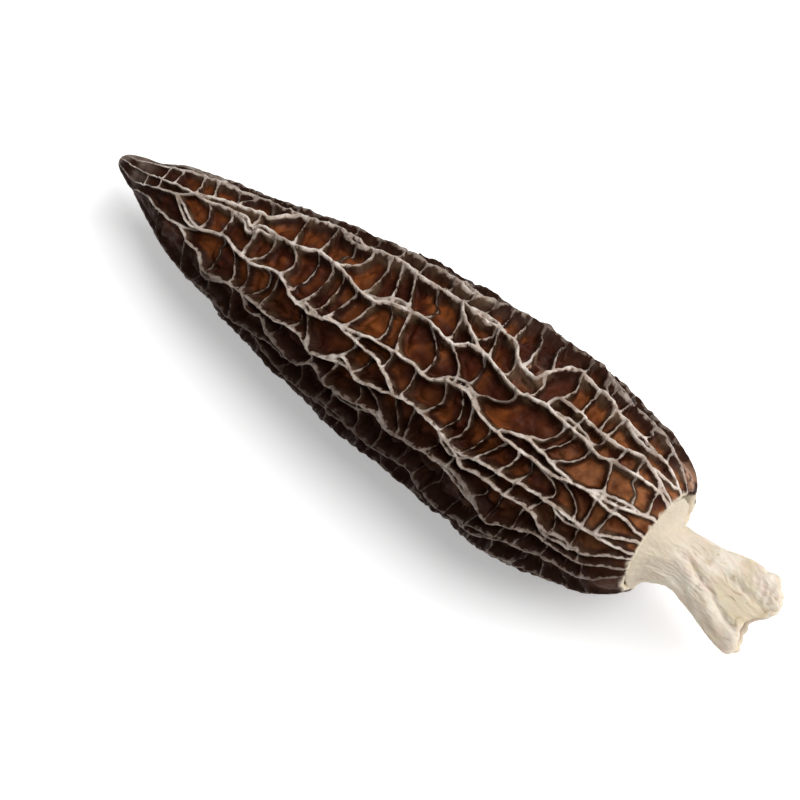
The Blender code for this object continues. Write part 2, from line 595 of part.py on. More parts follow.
def stem_ring(along, inset=0.0):
    """One ring round the stem: height above its own middle, and across. Only the outer rings are folded."""
    width, thickness = (float(read_table(STEM, along, column)) for column in (1, 2))
    around = np.arange(STEM_AROUND) * 2 * math.pi / STEM_AROUND
    waist = STEM_WAIST * float(smooth_step(STEM_WAIST_FROM, STEM_WAIST_FULL, along))
    thickness = thickness * (1 - waist * np.sin(around) ** 4)
    if inset:
        return (width - inset) * np.cos(around), (thickness - inset) * np.sin(around)
    folds = stem_folds(around, along)
    height = (width + folds) * np.cos(around)
    crease_from, crease_to = STEM_CREASE[0][0], STEM_CREASE[-1][0]
    deep = STEM_CREASE_DEPTH * float(smooth_step(crease_from - 1, crease_from + 1, along))
    deep *= 1 - float(smooth_step(crease_to, crease_to + 1.5, along))
    crease = deep * np.exp(-(((height - read_table(STEM_CREASE, along)) / STEM_CREASE_WIDTH) ** 2))
    across = (thickness + folds) * np.sin(around) - crease * (np.sin(around) > 0)
    return height, across


def stem_mesh():
    """Rings from the socket to the cut end, then back inside as a shallow slit."""
    first, last = STEM[0][0], STEM[-1][0]
    reach = read_table(STEM_END, stem_ring(last)[0])
    rows = []
    for along in np.linspace(first, last, round((last - first) / STEM_RING_STEP) + 1):
        height, across = stem_ring(along)
        drawn_out = smooth_step(last - STEM_END_RUN, last, along)
        rows.append(lie_down(along + reach * drawn_out, height + read_table(STEM, along, 3), across))
    for depth in np.linspace(0, SLIT_DEPTH, SLIT_RINGS):
        along = last - depth
        height, across = stem_ring(along, SLIT_WALL)
        drawn_out = 1 - smooth_step(0, SLIT_DEPTH, depth)
        rows.append(lie_down(along + reach * drawn_out - SLIT_LIP, height + read_table(STEM, along, 3), across))
    points = np.vstack(rows)
    faces = []
    for row in range(len(rows) - 1):
        for k in range(STEM_AROUND):
            a, b = row * STEM_AROUND + k, row * STEM_AROUND + (k + 1) % STEM_AROUND
            c, d = a + STEM_AROUND, b + STEM_AROUND
            faces += [[a, b, d], [a, d, c]]
    for row in (0, len(rows) - 1):
        ring = list(range(row * STEM_AROUND, (row + 1) * STEM_AROUND))
        points = np.vstack([points, points[ring].mean(axis=0)])
        for first, second in zip(ring, ring[1:] + ring[:1]):
            pair = (second, first) if row == 0 else (first, second)
            faces.append([*pair, len(points) - 1])
    return points, faces


def outward(points, faces):
    """The faces, turned so that the solid they enclose is positive."""
    corners = points[np.array(faces)]
    if np.linalg.det(corners - points.mean(axis=0)).sum() < 0:
        return [face[::-1] for face in faces]
    return faces


def solid(name, points, faces, look):
    mesh = bpy.data.meshes.new(name)
    mesh.from_pydata((points * MM).tolist(), [], outward(points, faces))
    mesh.materials.append(look)
    mesh.shade_smooth()
    obj = bpy.data.objects.new(name, mesh)
    bpy.context.scene.collection.objects.link(obj)
    return obj


def ground_cutter():
    """A block below the ground, which leaves the crests a flat spot to rest on."""
    size = GROUND_SIZE * MM
    bpy.ops.mesh.primitive_cube_add(size=size, location=(0, 0, -size / 2))
    cutter = bpy.context.object
    cutter.name = "ground"
    cutter.hide_render = True
    cutter.display_type = "WIRE"
    return cutter


def main():
    clear_scene()
    cap = solid("cap", *cap_mesh(Skin()), material("cap", CAP_COLOUR, CAP_ROUGHNESS))
    solid("stem", *stem_mesh(), material("stem", STEM_COLOUR, STEM_ROUGHNESS))
    flat = cap.modifiers.new("flat rest", "BOOLEAN")
    flat.operation = "DIFFERENCE"
    flat.object = ground_cutter()


if __name__ == "__main__":
    main()
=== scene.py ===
"""The looks of a dried morel mushroom: its netted cap, its wrinkled stem and a plain studio.

Lengths in the shape code are in millimetres until a mesh is made. "Along" is the distance from the cap's tip
along its axis. "Run" is the distance from the tip down the cap's skin. "Turn" is the angle round the axis,
from the line that faces the viewer, and it grows towards the near, lower flank.
"""

import math
import random
from collections import namedtuple

import bpy
import numpy as np
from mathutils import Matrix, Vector, noise
from mathutils.geometry import delaunay_2d_cdt
from mathutils.kdtree import KDTree


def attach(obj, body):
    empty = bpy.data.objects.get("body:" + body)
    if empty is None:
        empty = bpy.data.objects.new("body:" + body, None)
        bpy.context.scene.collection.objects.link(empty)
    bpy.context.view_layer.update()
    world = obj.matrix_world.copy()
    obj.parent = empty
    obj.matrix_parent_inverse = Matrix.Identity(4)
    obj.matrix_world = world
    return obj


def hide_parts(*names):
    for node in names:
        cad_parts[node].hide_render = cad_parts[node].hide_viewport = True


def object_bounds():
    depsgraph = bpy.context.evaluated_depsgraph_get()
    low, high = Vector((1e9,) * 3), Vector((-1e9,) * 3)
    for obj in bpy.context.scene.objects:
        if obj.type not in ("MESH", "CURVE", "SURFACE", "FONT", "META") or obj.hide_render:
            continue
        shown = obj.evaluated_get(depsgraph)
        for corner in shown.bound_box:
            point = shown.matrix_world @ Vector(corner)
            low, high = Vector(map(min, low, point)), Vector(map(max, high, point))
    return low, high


bl_info = {
    "name": "Dried Morel",
    "version": (1, 0, 0),
    "blender": (4, 5, 0),
    "location": "3D View > Sidebar > Morel",
    "description": "Builds a dried morel mushroom with a raised net of ribs, and a plain studio round it",
    "category": "Add Mesh",
}

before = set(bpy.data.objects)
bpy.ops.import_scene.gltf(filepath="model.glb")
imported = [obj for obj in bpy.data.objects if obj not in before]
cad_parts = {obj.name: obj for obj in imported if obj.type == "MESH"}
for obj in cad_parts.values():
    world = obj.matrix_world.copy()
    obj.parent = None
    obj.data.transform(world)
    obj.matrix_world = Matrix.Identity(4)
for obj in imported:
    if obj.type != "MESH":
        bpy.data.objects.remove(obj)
CAD_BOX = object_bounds()

MM = 0.001

# How the mushroom lies
FACING = math.radians(108.2)  # turn zero, measured from +Y towards +Z
PITCH = math.radians(3.8)
TIP_TO_MIDDLE = 42.0
AXIS_HEIGHT = 7.4

# The cap's skin, which the crests of the net lie on: along, radius
PROFILE = (
    (-1, 0), (-0.85, 0.5), (-0.3, 1.0), (1, 1.6), (3, 2.4), (4.9, 3.15), (7.4, 4.2), (10.3, 5.1), (14.2, 6.1),
    (18.5, 7.05), (24.3, 8.25), (33.6, 9.85), (42.5, 10.75), (51.5, 11.2), (57.2, 11.35), (61.5, 10.6),
    (65.5, 9.55), (68.2, 8.4), (69.9, 7.25), (70.7, 6.4), (70.9, 5.8), (70.4, 5.35), (69.7, 5.3),
)
RIM_ALONG = 70.9
# How far the cap's middle sits above its axis: along, above
BEND = ((0, 0.05), (10, -0.3), (16, -0.55), (24, -0.1), (36, 0.1), (47, 0.45), (57, 0), (65, 0.25), (71, 0.1))
# Swellings and dents of the skin: along, turn in degrees, width, height
LUMPS = (
    (52.5, -36, 3.5, 0.7), (61.5, -82, 2.5, -1.1), (34, -85, 7, 0.45), (30, 150, 6, 0.5), (48, 215, 7, -0.5),
    (20, 235, 5, 0.4), (3.2, -85, 1.2, -0.3), (6.2, -80, 1.6, 0.2), (69.6, -85, 1.5, 0.35),
    (69.4, 75, 2, 0.3),
)
# How deep the pits are: along, depth
PIT_DEPTH = (
    (-0.5, 0.1), (3, 0.5), (8, 1.1), (16, 1.7), (30, 2.2), (60, 2.2), (66, 1.7), (69, 0.9), (70.4, 0.4),
    (70.9, 0.1),
)
FULL_SIZE_RADIUS = 6.5  # walls and steps shrink with the radius towards the tip
SMALLEST_SCALE = 0.4
LEAST_MAP_RADIUS = 0.05  # keeps the tip's flat map from growing without end
CURVE_STEPS = 12  # places on a smooth line from one listed place to the next
TABLE_STEPS = 10  # the same for a smoothly read table
TURN_LENGTH = 10.0  # how many millimetres a radian of turn counts for where a rib is smoothed

# The ribs crowd in towards turn zero near the tip: along, the share of its listed turn at which a rib stands
CROWDING = ((0, 0.8), (6, 0.86), (14, 0.92), (26, 0.94))
# Ribs on the side that shows: where each begins and ends, then its places as along and degrees of turn.
# "tip" and "base" are the cap's ends, and "rib" is a place on a rib that is already there.
RIBS = {
    "a": ("tip", "base", (
        (1.5, -95), (6, -86), (16, -88), (24, -84), (29.5, -79), (33, -73), (37, -71), (41.5, -66), (44, -76),
        (48, -84), (53, -86), (58, -80), (62, -76), (69.5, -69))),
    "b": ("tip", "base", (
        (1.5, -50), (5, -61), (9, -66), (13, -66), (16.5, -69), (20.5, -63), (25, -66), (29.5, -56),
        (33.5, -57), (35.5, -53), (41.5, -52), (44, -48), (48.5, -46), (50.5, -36), (53, -33), (54, -42),
        (55, -56), (59, -57), (62, -53), (66, -52), (69, -56))),
    "c": ("tip", "base", (
        (1.5, -8), (5, -19), (8, -24), (12, -25), (16.5, -31), (18, -24), (19, -30), (20.5, -27), (23, -26),
        (26, -30), (28, -28), (31.5, -22), (34.5, -19), (35.5, -23), (41, -26), (44, -22), (46, -28),
        (50.5, -23), (52.5, -20), (56, -24), (58, -23), (61.5, -22), (62.5, -20), (66, -24), (69.5, -33))),
    "d": ("tip", "base", (
        (1.5, 40), (3.5, 24), (5, 4), (8, -7), (9, -1), (11, 12), (12.5, 11), (15, 0), (16, -3), (19.5, 6),
        (24, 1), (26.5, 10), (28.5, 12), (34, 5), (39.5, 1), (42, 1), (44, 3), (46.5, -2), (48.5, -3),
        (51, 3), (56.5, 4), (61, 5), (63.5, 2), (67, -1), (69, -6), (70.5, -11))),
    "e": ("tip", "base", (
        (1.5, 82), (4, 42), (5.5, 33), (9, 28), (10.5, 24), (12.5, 29), (14.5, 31), (15.5, 41), (18, 38),
        (19.5, 34), (25.5, 33), (29, 28), (31.5, 33), (35.5, 26), (38, 28), (42, 23), (45, 21), (48.5, 25),
        (51, 27), (54, 23), (61, 20), (65.5, 24), (67.5, 26))),
    "f": ("tip", "base", (
        (1.5, 128), (5, 104), (10, 88), (14.5, 74), (18, 66), (20.5, 68), (23, 61), (26.5, 53), (30, 51),
        (32.5, 41), (34.5, 46), (37.5, 44), (41, 40), (43, 45), (48.5, 41), (52.5, 43), (57, 51), (60, 46),
        (62, 44), (67, 51), (69, 46))),
    "g": ("rib", "base", (
        (24, 59), (27, 70), (31, 72), (35.5, 65), (43.5, 65), (46, 61), (50, 76), (55.5, 69), (60, 59),
        (64.5, 60), (67, 65), (70.5, 57))),
    "c high": ("rib", "rib", ((10, -25), (13, -35), (17, -42), (18.5, -43), (19.5, -51), (20.5, -63))),
    "b fall": ("rib", "rib", ((41.5, -52), (43, -41), (46, -31), (47.5, -26))),
    "b low": ("rib", "base", ((56, -24), (56.5, -32), (62, -32), (65, -36), (66, -40), (70, -38))),
    "b link": ("rib", "rib", ((67.5, -40), (68.5, -43), (70, -49), (70.5, -57))),
    "d low": ("rib", "rib", ((31, 6), (37, 9), (39.5, 13), (42, 23))),
    "d high": ("rib", "rib", ((53.5, 2), (56.5, -3), (60.5, 1), (63, 3))),
    "d fork": ("rib", "base", ((64.5, 2), (66, 4), (69, 4), (70, 7))),
    "e low": ("rib", "base", (
        (50.5, 27), (52, 32), (54, 30), (61, 32), (62.5, 40), (65.5, 43), (67, 42), (70, 33))),
    "e fork": ("rib", "base", ((67, 25), (69, 18), (70.5, 14))),
    "f high": ("rib", "rib", ((21.5, 35), (23, 43), (24.5, 39), (25.5, 45), (29.5, 51))),
}
# Cross ridges on that side, between two ribs: along where each leaves the first, along where it meets the
# second, and how far it bows towards the base
RUNGS = {
    ("a", "b"): (
        (5, 5, 0), (8.5, 9, 0), (12, 12.5, 0), (16, 16.5, 0.5), (19.5, 19, 0), (23, 23.5, 0.5), (26, 26.5, 0),
        (29, 29, 0), (32, 32.5, 0), (35, 35.5, 0), (38.5, 39, 0.5), (41.5, 41.5, 0), (43.5, 44, 0),
        (47, 48.5, 0), (48.5, 51.5, 0.5), (51.5, 54, -0.5), (55, 56, 0), (58.5, 60.5, 0), (61, 61.5, 0),
        (64.5, 65, 0.5), (67.5, 68, 0)),
    ("b", "c"): (
        (5, 5.5, 0), (6.5, 7, 0), (9, 10, 0), (21.5, 23, 0), (25, 26, 0), (30, 28.5, 1), (32, 33, 0.5),
        (33.5, 36, 0), (35.5, 38, 0), (46.5, 48, 0)),
    ("b", "c high"): ((10.5, 12, 0), (15.5, 15, -0.5)),
    ("c high", "c"): ((17.5, 18, 0),),
    ("b", "b low"): ((56, 56.5, 0.5), (58.5, 59, 0), (61, 61.5, 0), (62.5, 62.5, 0)),
    ("b fall", "c"): ((42.5, 43.5, 0),),
    ("b low", "c"): ((59.5, 59.5, 0), (62.5, 61.5, 0.5), (64.5, 64, 0.5), (66.5, 67, 0), (69, 69.5, 0)),
    ("c", "d"): (
        (3.5, 4, 0), (5.5, 5.5, 0), (10, 8, 0), (12, 13, 0.5), (15, 15.5, 0), (18.5, 19, 0), (20.5, 20, 1),
        (23, 24, 1), (28, 27.5, 1), (32, 31.5, 0), (34.5, 33.5, 0), (38.5, 40, -0.5), (44, 47, 0.5),
        (52.5, 47.5, 2), (64.5, 66, 0), (69.5, 70, 0)),
    ("c", "d high"): ((58.5, 55.5, 1.5), (62, 59.5, 1)),
    ("d", "e"): (
        (13, 10.5, 0.5), (19.5, 21, 0.5), (24, 24, 0), (28.5, 31, 0), (35.5, 34, 0.5), (42.5, 43, 0),
        (46, 45.5, 1), (49.5, 49.5, 1), (55, 53, 0), (56.5, 55.5, 0.5), (58.5, 61, 2), (61.5, 64.5, 1),
        (65.5, 65.5, 0), (67.5, 67, 0)),
    ("d", "d low"): ((39.5, 39.5, 0),),
    ("e", "e low"): ((58, 57.5, 0), (65.5, 65.5, 0)),
    ("e low", "f"): ((60, 59.5, 0), (63, 63, 0), (66.5, 66.5, 0)),
    ("e", "f"): (
        (7, 7.5, 0), (12, 12.5, 0), (16.5, 17, 0), (20, 20.5, 0), (31.5, 31.5, 0.5), (35, 34, 0),
        (38, 43, 0.5), (44.5, 45, 0), (50, 50.5, 0.5)),
    ("f", "g"): (
        (30.5, 31, 0.5), (36, 35.5, 0), (39, 39.5, 0), (42.5, 42, 0), (46, 45, 0), (50.5, 48.5, 0.5),
        (56, 54.5, 0), (63.5, 63, 0), (67, 67.5, 0)),
}

# The far side's ribs and cross ridges follow a rule
FAR_RIB_STARTS = (0, 26, 8, 0, 30, 11, 0, 23)
FAR_RIB_FIRST = 1.5
FAR_RIB_PARTING = 9.0
FAR_RIB_STEP = 2.4
FAR_WAVES = ((17.0, 0.16), (7.5, 0.1))  # length of a wave, and the share of the gap that it takes
FAR_GAP_VARIES = (0.85, 1.15)
FAR_RUNG_FIRST = (3.0, 5.0)
FAR_RUNG_STEP = 3.1
FAR_RUNG_STEP_VARIES = (0.65, 1.4)
FAR_RUNG_LEAST_GAP = 1.7
FAR_RUNG_SLANT = 0.45
FAR_RUNG_MOST_BOW = 1.1
FAR_RUNG_OFF_RIM = 2.0
SEED = 41

# How high and how pale a cross ridge is against a rib, where it leaves one, in its middle and at its far end
RUNG_HIGH = (0.5, 0.9)
RUNG_MIDDLE_HIGH = 0.4  # and half of what it has where it leaves
RUNG_END_HIGH = 0.97
RUNG_PALE = (0.3, 0.8)
RUNG_END_PALE = 0.9
RUNG_PLACES = 17

# Finer crests than the solid has. Stretches where two ribs stand side by side, from and to along:
NEIGHBOURS = {
    ("a", "b"): ((8, 69),),
    ("b", "c"): ((21, 41), (48, 56)),
    ("b", "c high"): ((10, 19),),
    ("c high", "c"): ((12, 19),),
    ("b", "b fall"): ((43, 48),),
    ("b fall", "c"): ((42.5, 47),),
    ("b", "b low"): ((56.5, 66),),
    ("b low", "c"): ((57.5, 70),),
    ("c", "d"): ((10, 53), (63, 70)),
    ("c", "d high"): ((54, 62),),
    ("d", "e"): ((14, 31), (43, 69)),
    ("d", "d low"): ((33, 41),),
    ("d low", "e"): ((32, 40),),
    ("e", "f"): ((12, 21), (30, 50)),
    ("e", "f high"): ((23, 29),),
    ("e", "e low"): ((52, 66),),
    ("e low", "f"): ((52, 69),),
    ("f", "g"): ((26, 69),),
}
DETAIL_SEED = 7
THIN_STEP = 2.5  # with thinner cross ridges between the others, they all stand about this far apart
THIN_LEAST_GAP = 1.5  # of that step: cells shorter than this aren't parted
THIN_LEAST_WIDTH = 1.2
THIN_EVERYWHERE = ((3, 69),)
THIN_SHIFT = 0.15
THIN_SLANT = 0.3
THIN_BOW = (0.2, 1.1)
THIN_HIGH = (0.3, 0.8)
THIN_PALE = (0.4, 1)
THIN_END = 0.45  # what a thin ridge has at its far end, and half of its middle's
TWIN_RUN = (3.0, 6.0)  # how long a stretch of a rib stands double
TWIN_REST = (7.0, 18.0)
TWIN_APART = (0.5, 0.75)
TWIN_HIGH = (0.88, 1)
TWIN_PALE = (0.7, 1)
TWIN_PLACES = 24
TWIN_BLUNTNESS = 0.7
# How crests waver: size of a wave, how far it goes, and where the noises down and round the skin are read
WAVER = ((1.7, 0.18, 10.0, 50.0), (0.8, 0.13, 17.0, 57.0), (0.4, 0.06, 24.0, 64.0))
END_FADE = 1.2  # wavering and roughness fade out this near to the cap's two ends

# Each kind of crest against a rib: how wide its walls are, and the bead and the pale band on top of it
WALLS = {"rib": (1.0, 1.0), "rung": (0.85, 0.54), "thin": (0.7, 0.4)}
WEB = (1.1, 0.6)  # how much wider a cross ridge is where it meets a rib, and how far off that fades
PALE_HALF_WIDTH = 0.205
KNOB_HIGHLIGHT_WIDENS = 0.25  # how much wider the pale band is on the raised knob, as a painted highlight
FLANK_NARROWS = 0.06  # and how much narrower on the flanks in painted shade
PALE_DROP = (0.1, 0.26)  # the share of its own wall over which the pale band fades
JOIN_POWER = 3.0  # how walls run together in the corners of the pits; lower is rounder
PILLOW = (0.35, 1.2)  # how far from the strong crests a floor's swelling begins, and is full
FLOOR_LOBES = (1.5, 0.6, 1.6)  # size of the lobes that it swells in, least height, how much more they have
CREST_JAGS = ((0.7, 9.0), (2.6, 4.0))  # size of the jags on a crest, and where their noise is read
UNEVEN = ((1.1, 0.6, 1.0), (0.45, 0.4, 6.0))  # size and share of the floors' bumps, and where it is read
UNEVEN_CREST = 0.2  # how much of that the crests have
CREST_SHARE = (0.3, 0.9)  # of the height, from floor to crest
# Patches of the cap's skin, and painted light and shade over its sides
WORN_TIP = (0.5, 4.5)  # along, from worn grey to plain
DARK_TIP = (3, 13)  # along, from dark pits to plain ones
LIT_SIDE_TURN = math.radians(-18)  # the side that is painted as lit the most
LIT_SIDE = (0.3, 0.97)  # cosine of the turn from there, from crests dimmed by painted shade to fully lit ones
SHADED_FLANK_PALENESS = ((0, 0.3), (18, 0.14), (44, 0.14), (56, 0.35))  # along, how pale the crests stay in the painted shade of the flanks
TAN_BASE = (54, 67)  # along, from plain floors to tan ones
RAISED_KNOB = (51.8, -37.0, 1.5)  # along, turn in degrees and width of the raised knob, blotched pale and given a painted highlight
RIM_KNOB = (70.2, -82.0, 1.8)  # and of the spotted tan one on the rim
KNOB_BARE = (0.2, 0.5)  # how deep inside that knob the rim's cream tissue ends
KNOB_SCAR = 0.75  # how strongly it is blotched
FLANK_SHADE = 0.9  # how far the pits are darkened with painted shade on the flanks turned from the light
TISSUE_FROM_RIM = 0.3
TISSUE_RAGGED = (1.6, 0.3)  # size of the jags in its edge, and how far they go
TISSUE_FADE = 0.25

# The mesh of the cap, finest on the crests. Rows beside a crest: how far off, step along it, least spacing
ROWS = ((0.1, 0.27, 0.085), (0.19, 0.27, 0.09), (0.31, 0.3, 0.13), (0.47, 0.34, 0.18), (0.75, 0.4, 0.26))
CREST_STEP = 0.27
WELD = 0.15  # crests that pass nearer than this are joined
TIP_RUN = 0.45
END_RING = (0.4, 12, 0.12)  # step, fewest places and least spacing of the ring at each end
END_MARGIN = 0.15  # how far the other places stay from those two rings
# Rows of places fill the floors. How far apart the rows are, and the places in them, are shares of the step
FLOOR_STEP = 0.42
FLOOR_ROW_STEP = 0.87
FLOOR_ROW_VARIES = 0.25
FLOOR_SPACING = 0.75
FLOOR_LEAST_COUNT = 8
FLOOR_FROM_TIP = 0.3
SIEVE_CELL = 0.45  # more than any spacing above
SAMPLE_STEP = 0.12  # between the places that a distance to a crest is measured from
ON_CUT = 1e-3
SAME_RUN = 1e-6
TINY = 1e-9

# The stem: along, half its width, half its thickness, and how far its middle sits above the cap's axis
STEM = (
    (70, 4.9, 4.9, 0.15), (70.6, 4.75, 4.8, 0), (71.3, 3.7, 3.9, -0.45), (72.2, 3.35, 3.3, -0.45),
    (73.4, 3.05, 2.95, -0.3), (74.9, 3.05, 2.75, -0.15), (76.4, 3.3, 2.65, -0.25), (78.2, 3.8, 2.6, -0.35),
    (79.8, 4.2, 2.55, -0.5), (81.7, 4.55, 2.5, -0.6), (82.4, 4.65, 2.5, -0.65), (83.1, 4.6, 2.45, -0.65),
)
# Tissue flares out under the cap and closes the gap to its socket: along, least distance from the middle
FLARE = (
    (70, 4.9), (70.4, 5.45), (70.7, 5.45), (70.95, 4.9), (71.2, 4.3), (71.6, 3.75), (72.3, 3.4), (73.4, 3.0),
)
FLARE_DIP = 0.6  # how far it draws back under the knob on the rim
FLARE_DIP_ALONG = (73.4, 71.2)  # where that begins, and where it is full
FLARE_DIP_NARROWNESS = 6
STEM_AROUND = 260
STEM_RING_STEP = 0.09
STEM_WAIST = 0.34  # the share by which the flat end is pressed in at its middle
STEM_WAIST_ALONG = (76.0, 81.0)  # where that begins, and where it is full
STEM_WAIST_NARROWNESS = 4
# The cut end: height above the stem's middle, and how far the edge reaches there
STEM_END = (
    (-4.8, 0), (-4.0, 0.7), (-2.5, 0.1), (-1.2, -0.1), (-0.4, 0.2), (0.6, 1.0), (2.1, 1.8), (3.4, 1.3),
    (4.8, 0),
)
STEM_END_RUN = 5.0  # over how much of the stem that reach fades in
STEM_END_CRINKLE = (0.9, 0.3)  # size of a crinkle in the cut edge, and how far it goes
# Lengthwise folds: how many round the stem, their twist, their height, the length over which they swell
STEM_FOLDS = ((3, 0.1, 0.16, 9), (5, -0.07, 0.14, 6), (8, 0.05, 0.1, 5), (13, -0.04, 0.06, 4))
STEM_FOLD_DRIFT = 0.4
STEM_FOLD_STRENGTH = (0.65, 0.35)  # of a fold, and how much that varies
# Creases on the side that shows: places as along and height above the stem's middle, depth, width
STEM_CREASES = (
    (
        ((73.4, 0.6), (75.2, 0.2), (76.8, -0.4), (78.3, -0.8), (80.2, -1.6), (81.5, -2.1), (83, -2.3)),
        0.28, 0.4,
    ),
    (((73.4, 1.5), (76.4, 1.4), (79.4, 1.5), (81.4, 1.2), (83.5, 0.6)), 0.16, 0.4),
)
CREASE_FADE_IN = 1.0
CREASE_FADE_OUT = 1.5
TROUGH_ALONG = (77.0, 80.0)  # where the smooth trough between the two begins and is full
TROUGH_EDGE = (0.2, 1.0)  # how far it reaches past the lower crease, and fades in from both
TROUGH_SMOOTHS = 0.75  # the share of the wrinkles that it takes away
SLIT_WALL = 0.9
SLIT_DEPTH = 7.0
SLIT_RINGS = 30
SLIT_LIP_RINGS = 8
STEM_WRINKLES = ((2.4, 0.6, 0.08), (1.3, 0.35, 0.06), (0.6, 0.2, 0.03))  # length, width, height
WRINKLE_STEEPNESS = 2
WRINKLE_SWAY = (1.6, 0.9)  # size of the bends in the wrinkles, and how far they go
WRINKLES_FULL = 1.2  # how far from the socket
LEAST_WRINKLED = 0.5  # the least distance from the middle by which a wrinkle is shared out
STEM_CRUMPLE = (1.0, 0.2)  # size and height of the crumpling near the upper corner of the cut end
CRUMPLE_STEEPNESS = 3
CRUMPLE_ALONG = (79.0, 82.5)  # where it begins and is full, along and up
CRUMPLE_UP = (0.8, 2.2)
LOW_CREASE = 0.5  # how deep a crease is where it has its full colour, and a wrinkle
LOW_WRINKLE = 0.2
COLLAR = (71, 76)  # along, from the collar's colour to plain
INSIDE_FADE = 2  # how far behind the cut edge the hollow has its full colour

# The stage, in metres
STAGE_FLOOR_SIDE = 6
STAGE_FLOOR_ROUGHNESS = 0.9
FAR_CLIP = 10
KEY_SIZE = 0.6
KEY_PLACE = (0.5, 0.3, 0.2)  # of the soft light from the middle: towards the camera, right and up

Crest = namedtuple("Crest", "kind run turn high pale")


def smooth_line(points, steps, scale=1.0):
    """A curve through all the points. The scale brings the second coordinate to the first one's size."""
    points = np.array(points, float)
    chords = np.hypot(*(np.diff(points[:, :2], axis=0) * (1, scale)).T)
    knots = np.concatenate([[0], np.cumsum(np.sqrt(chords))])
    slopes = np.gradient(points, knots, axis=0)
    span, share = np.meshgrid(np.arange(len(points) - 1), np.arange(steps) / steps, indexing="ij")
    span, share = span.ravel(), share.ravel()[:, None]
    width = np.diff(knots)[span][:, None]
    curve = (
        (2 * share**3 - 3 * share**2 + 1) * points[span]
        + (share**3 - 2 * share**2 + share) * width * slopes[span]
        + (3 * share**2 - 2 * share**3) * points[span + 1]
        + (share**3 - share**2) * width * slopes[span + 1]
    )
    return np.vstack([curve, points[-1:]])


def read_table(table, at, column=1):
    rows = np.array(table, float)
    return np.interp(at, rows[:, 0], rows[:, column])


def smooth_step(low, high, value):
    share = np.clip((value - low) / (high - low), 0, 1)
    return share * share * (3 - 2 * share)


def soft_noise(spots, size, shift):
    """Soft noise from about -1 to 1 at each place, in patches of about the given size. Shifts keep two uses
    of it in one place from looking alike."""
    scaled = np.asarray(spots, float) / size + shift
    return np.array([noise.noise(spot) for spot in scaled.tolist()])


def soft_ridges(spots, size, shift, steepness):
    """Ridges that stand out by 0.7, with troughs between them."""
    return 0.7 - steepness * np.abs(soft_noise(spots, size, shift))


def lie_down(along, above, across):
    """Places beside the axis, in the frame that the mushroom lies in."""
    y = above * math.cos(FACING - math.pi / 2) + across * math.cos(FACING)
    z = above * math.sin(FACING - math.pi / 2) + across * math.sin(FACING)
    x = along * math.cos(PITCH) - z * math.sin(PITCH)
    z = along * math.sin(PITCH) + z * math.cos(PITCH)
    return np.stack([x - TIP_TO_MIDDLE, y, z + AXIS_HEIGHT], axis=-1)


class Skin:
    """The smooth closed surface that the crests of the net lie on, and its flat map."""

    def __init__(self):
        self.along, self.radius = smooth_line(PROFILE, CURVE_STEPS).T
        step = np.hypot(np.diff(self.along), np.diff(self.radius))
        self.run = np.concatenate([[0], np.cumsum(step)])
        rising, onward = (np.gradient(values, self.run) for values in (self.radius, self.along))
        self.lean = np.unwrap(np.arctan2(rising, onward))
        middle = np.maximum((self.radius[1:] + self.radius[:-1]) / 2, LEAST_MAP_RADIUS)
        self.map_length = np.concatenate([[0], np.cumsum(step / middle)])
        self.to_rim = int(np.argmax(self.along)) + 1
        self.end = self.run[-1]

    def run_at(self, along):
        return np.interp(along, self.along[: self.to_rim], self.run[: self.to_rim])

    def read(self, values, run):
        return np.interp(run, self.run, values)

    def radius_at(self, run):
        return self.read(self.radius, run)

    def scale(self, run):
        """How large walls and steps are here against those of the cap's full width."""
        return np.clip(self.radius_at(run) / FULL_SIZE_RADIUS, SMALLEST_SCALE, 1)

    def inside(self, run):
        """One over most of the skin, fading to nothing at its two ends."""
        fading = smooth_step(self.end - END_FADE, self.end, run)
        return smooth_step(TIP_RUN, TIP_RUN + END_FADE, run) * (1 - fading)

    def points(self, run, turn, sunk=0.0):
        """Places on the skin, or sunk below it, in the lying frame."""
        run, turn = np.asarray(run, float), np.asarray(turn, float)
        lean = self.read(self.lean, run)
        along = self.read(self.along, run)
        radius = self.radius_at(run)
        for at, degrees, width, height in LUMPS:
            sideways = np.angle(np.exp(1j * (turn - math.radians(degrees)))) * radius
            radius = radius + height * np.exp(-((along - at) ** 2 + sideways**2) / width**2)
        radius = radius - sunk * np.cos(lean)
        middle = read_table(BEND, along)
        along = along + sunk * np.sin(lean)
        return lie_down(along, middle - radius * np.sin(turn), radius * np.cos(turn))


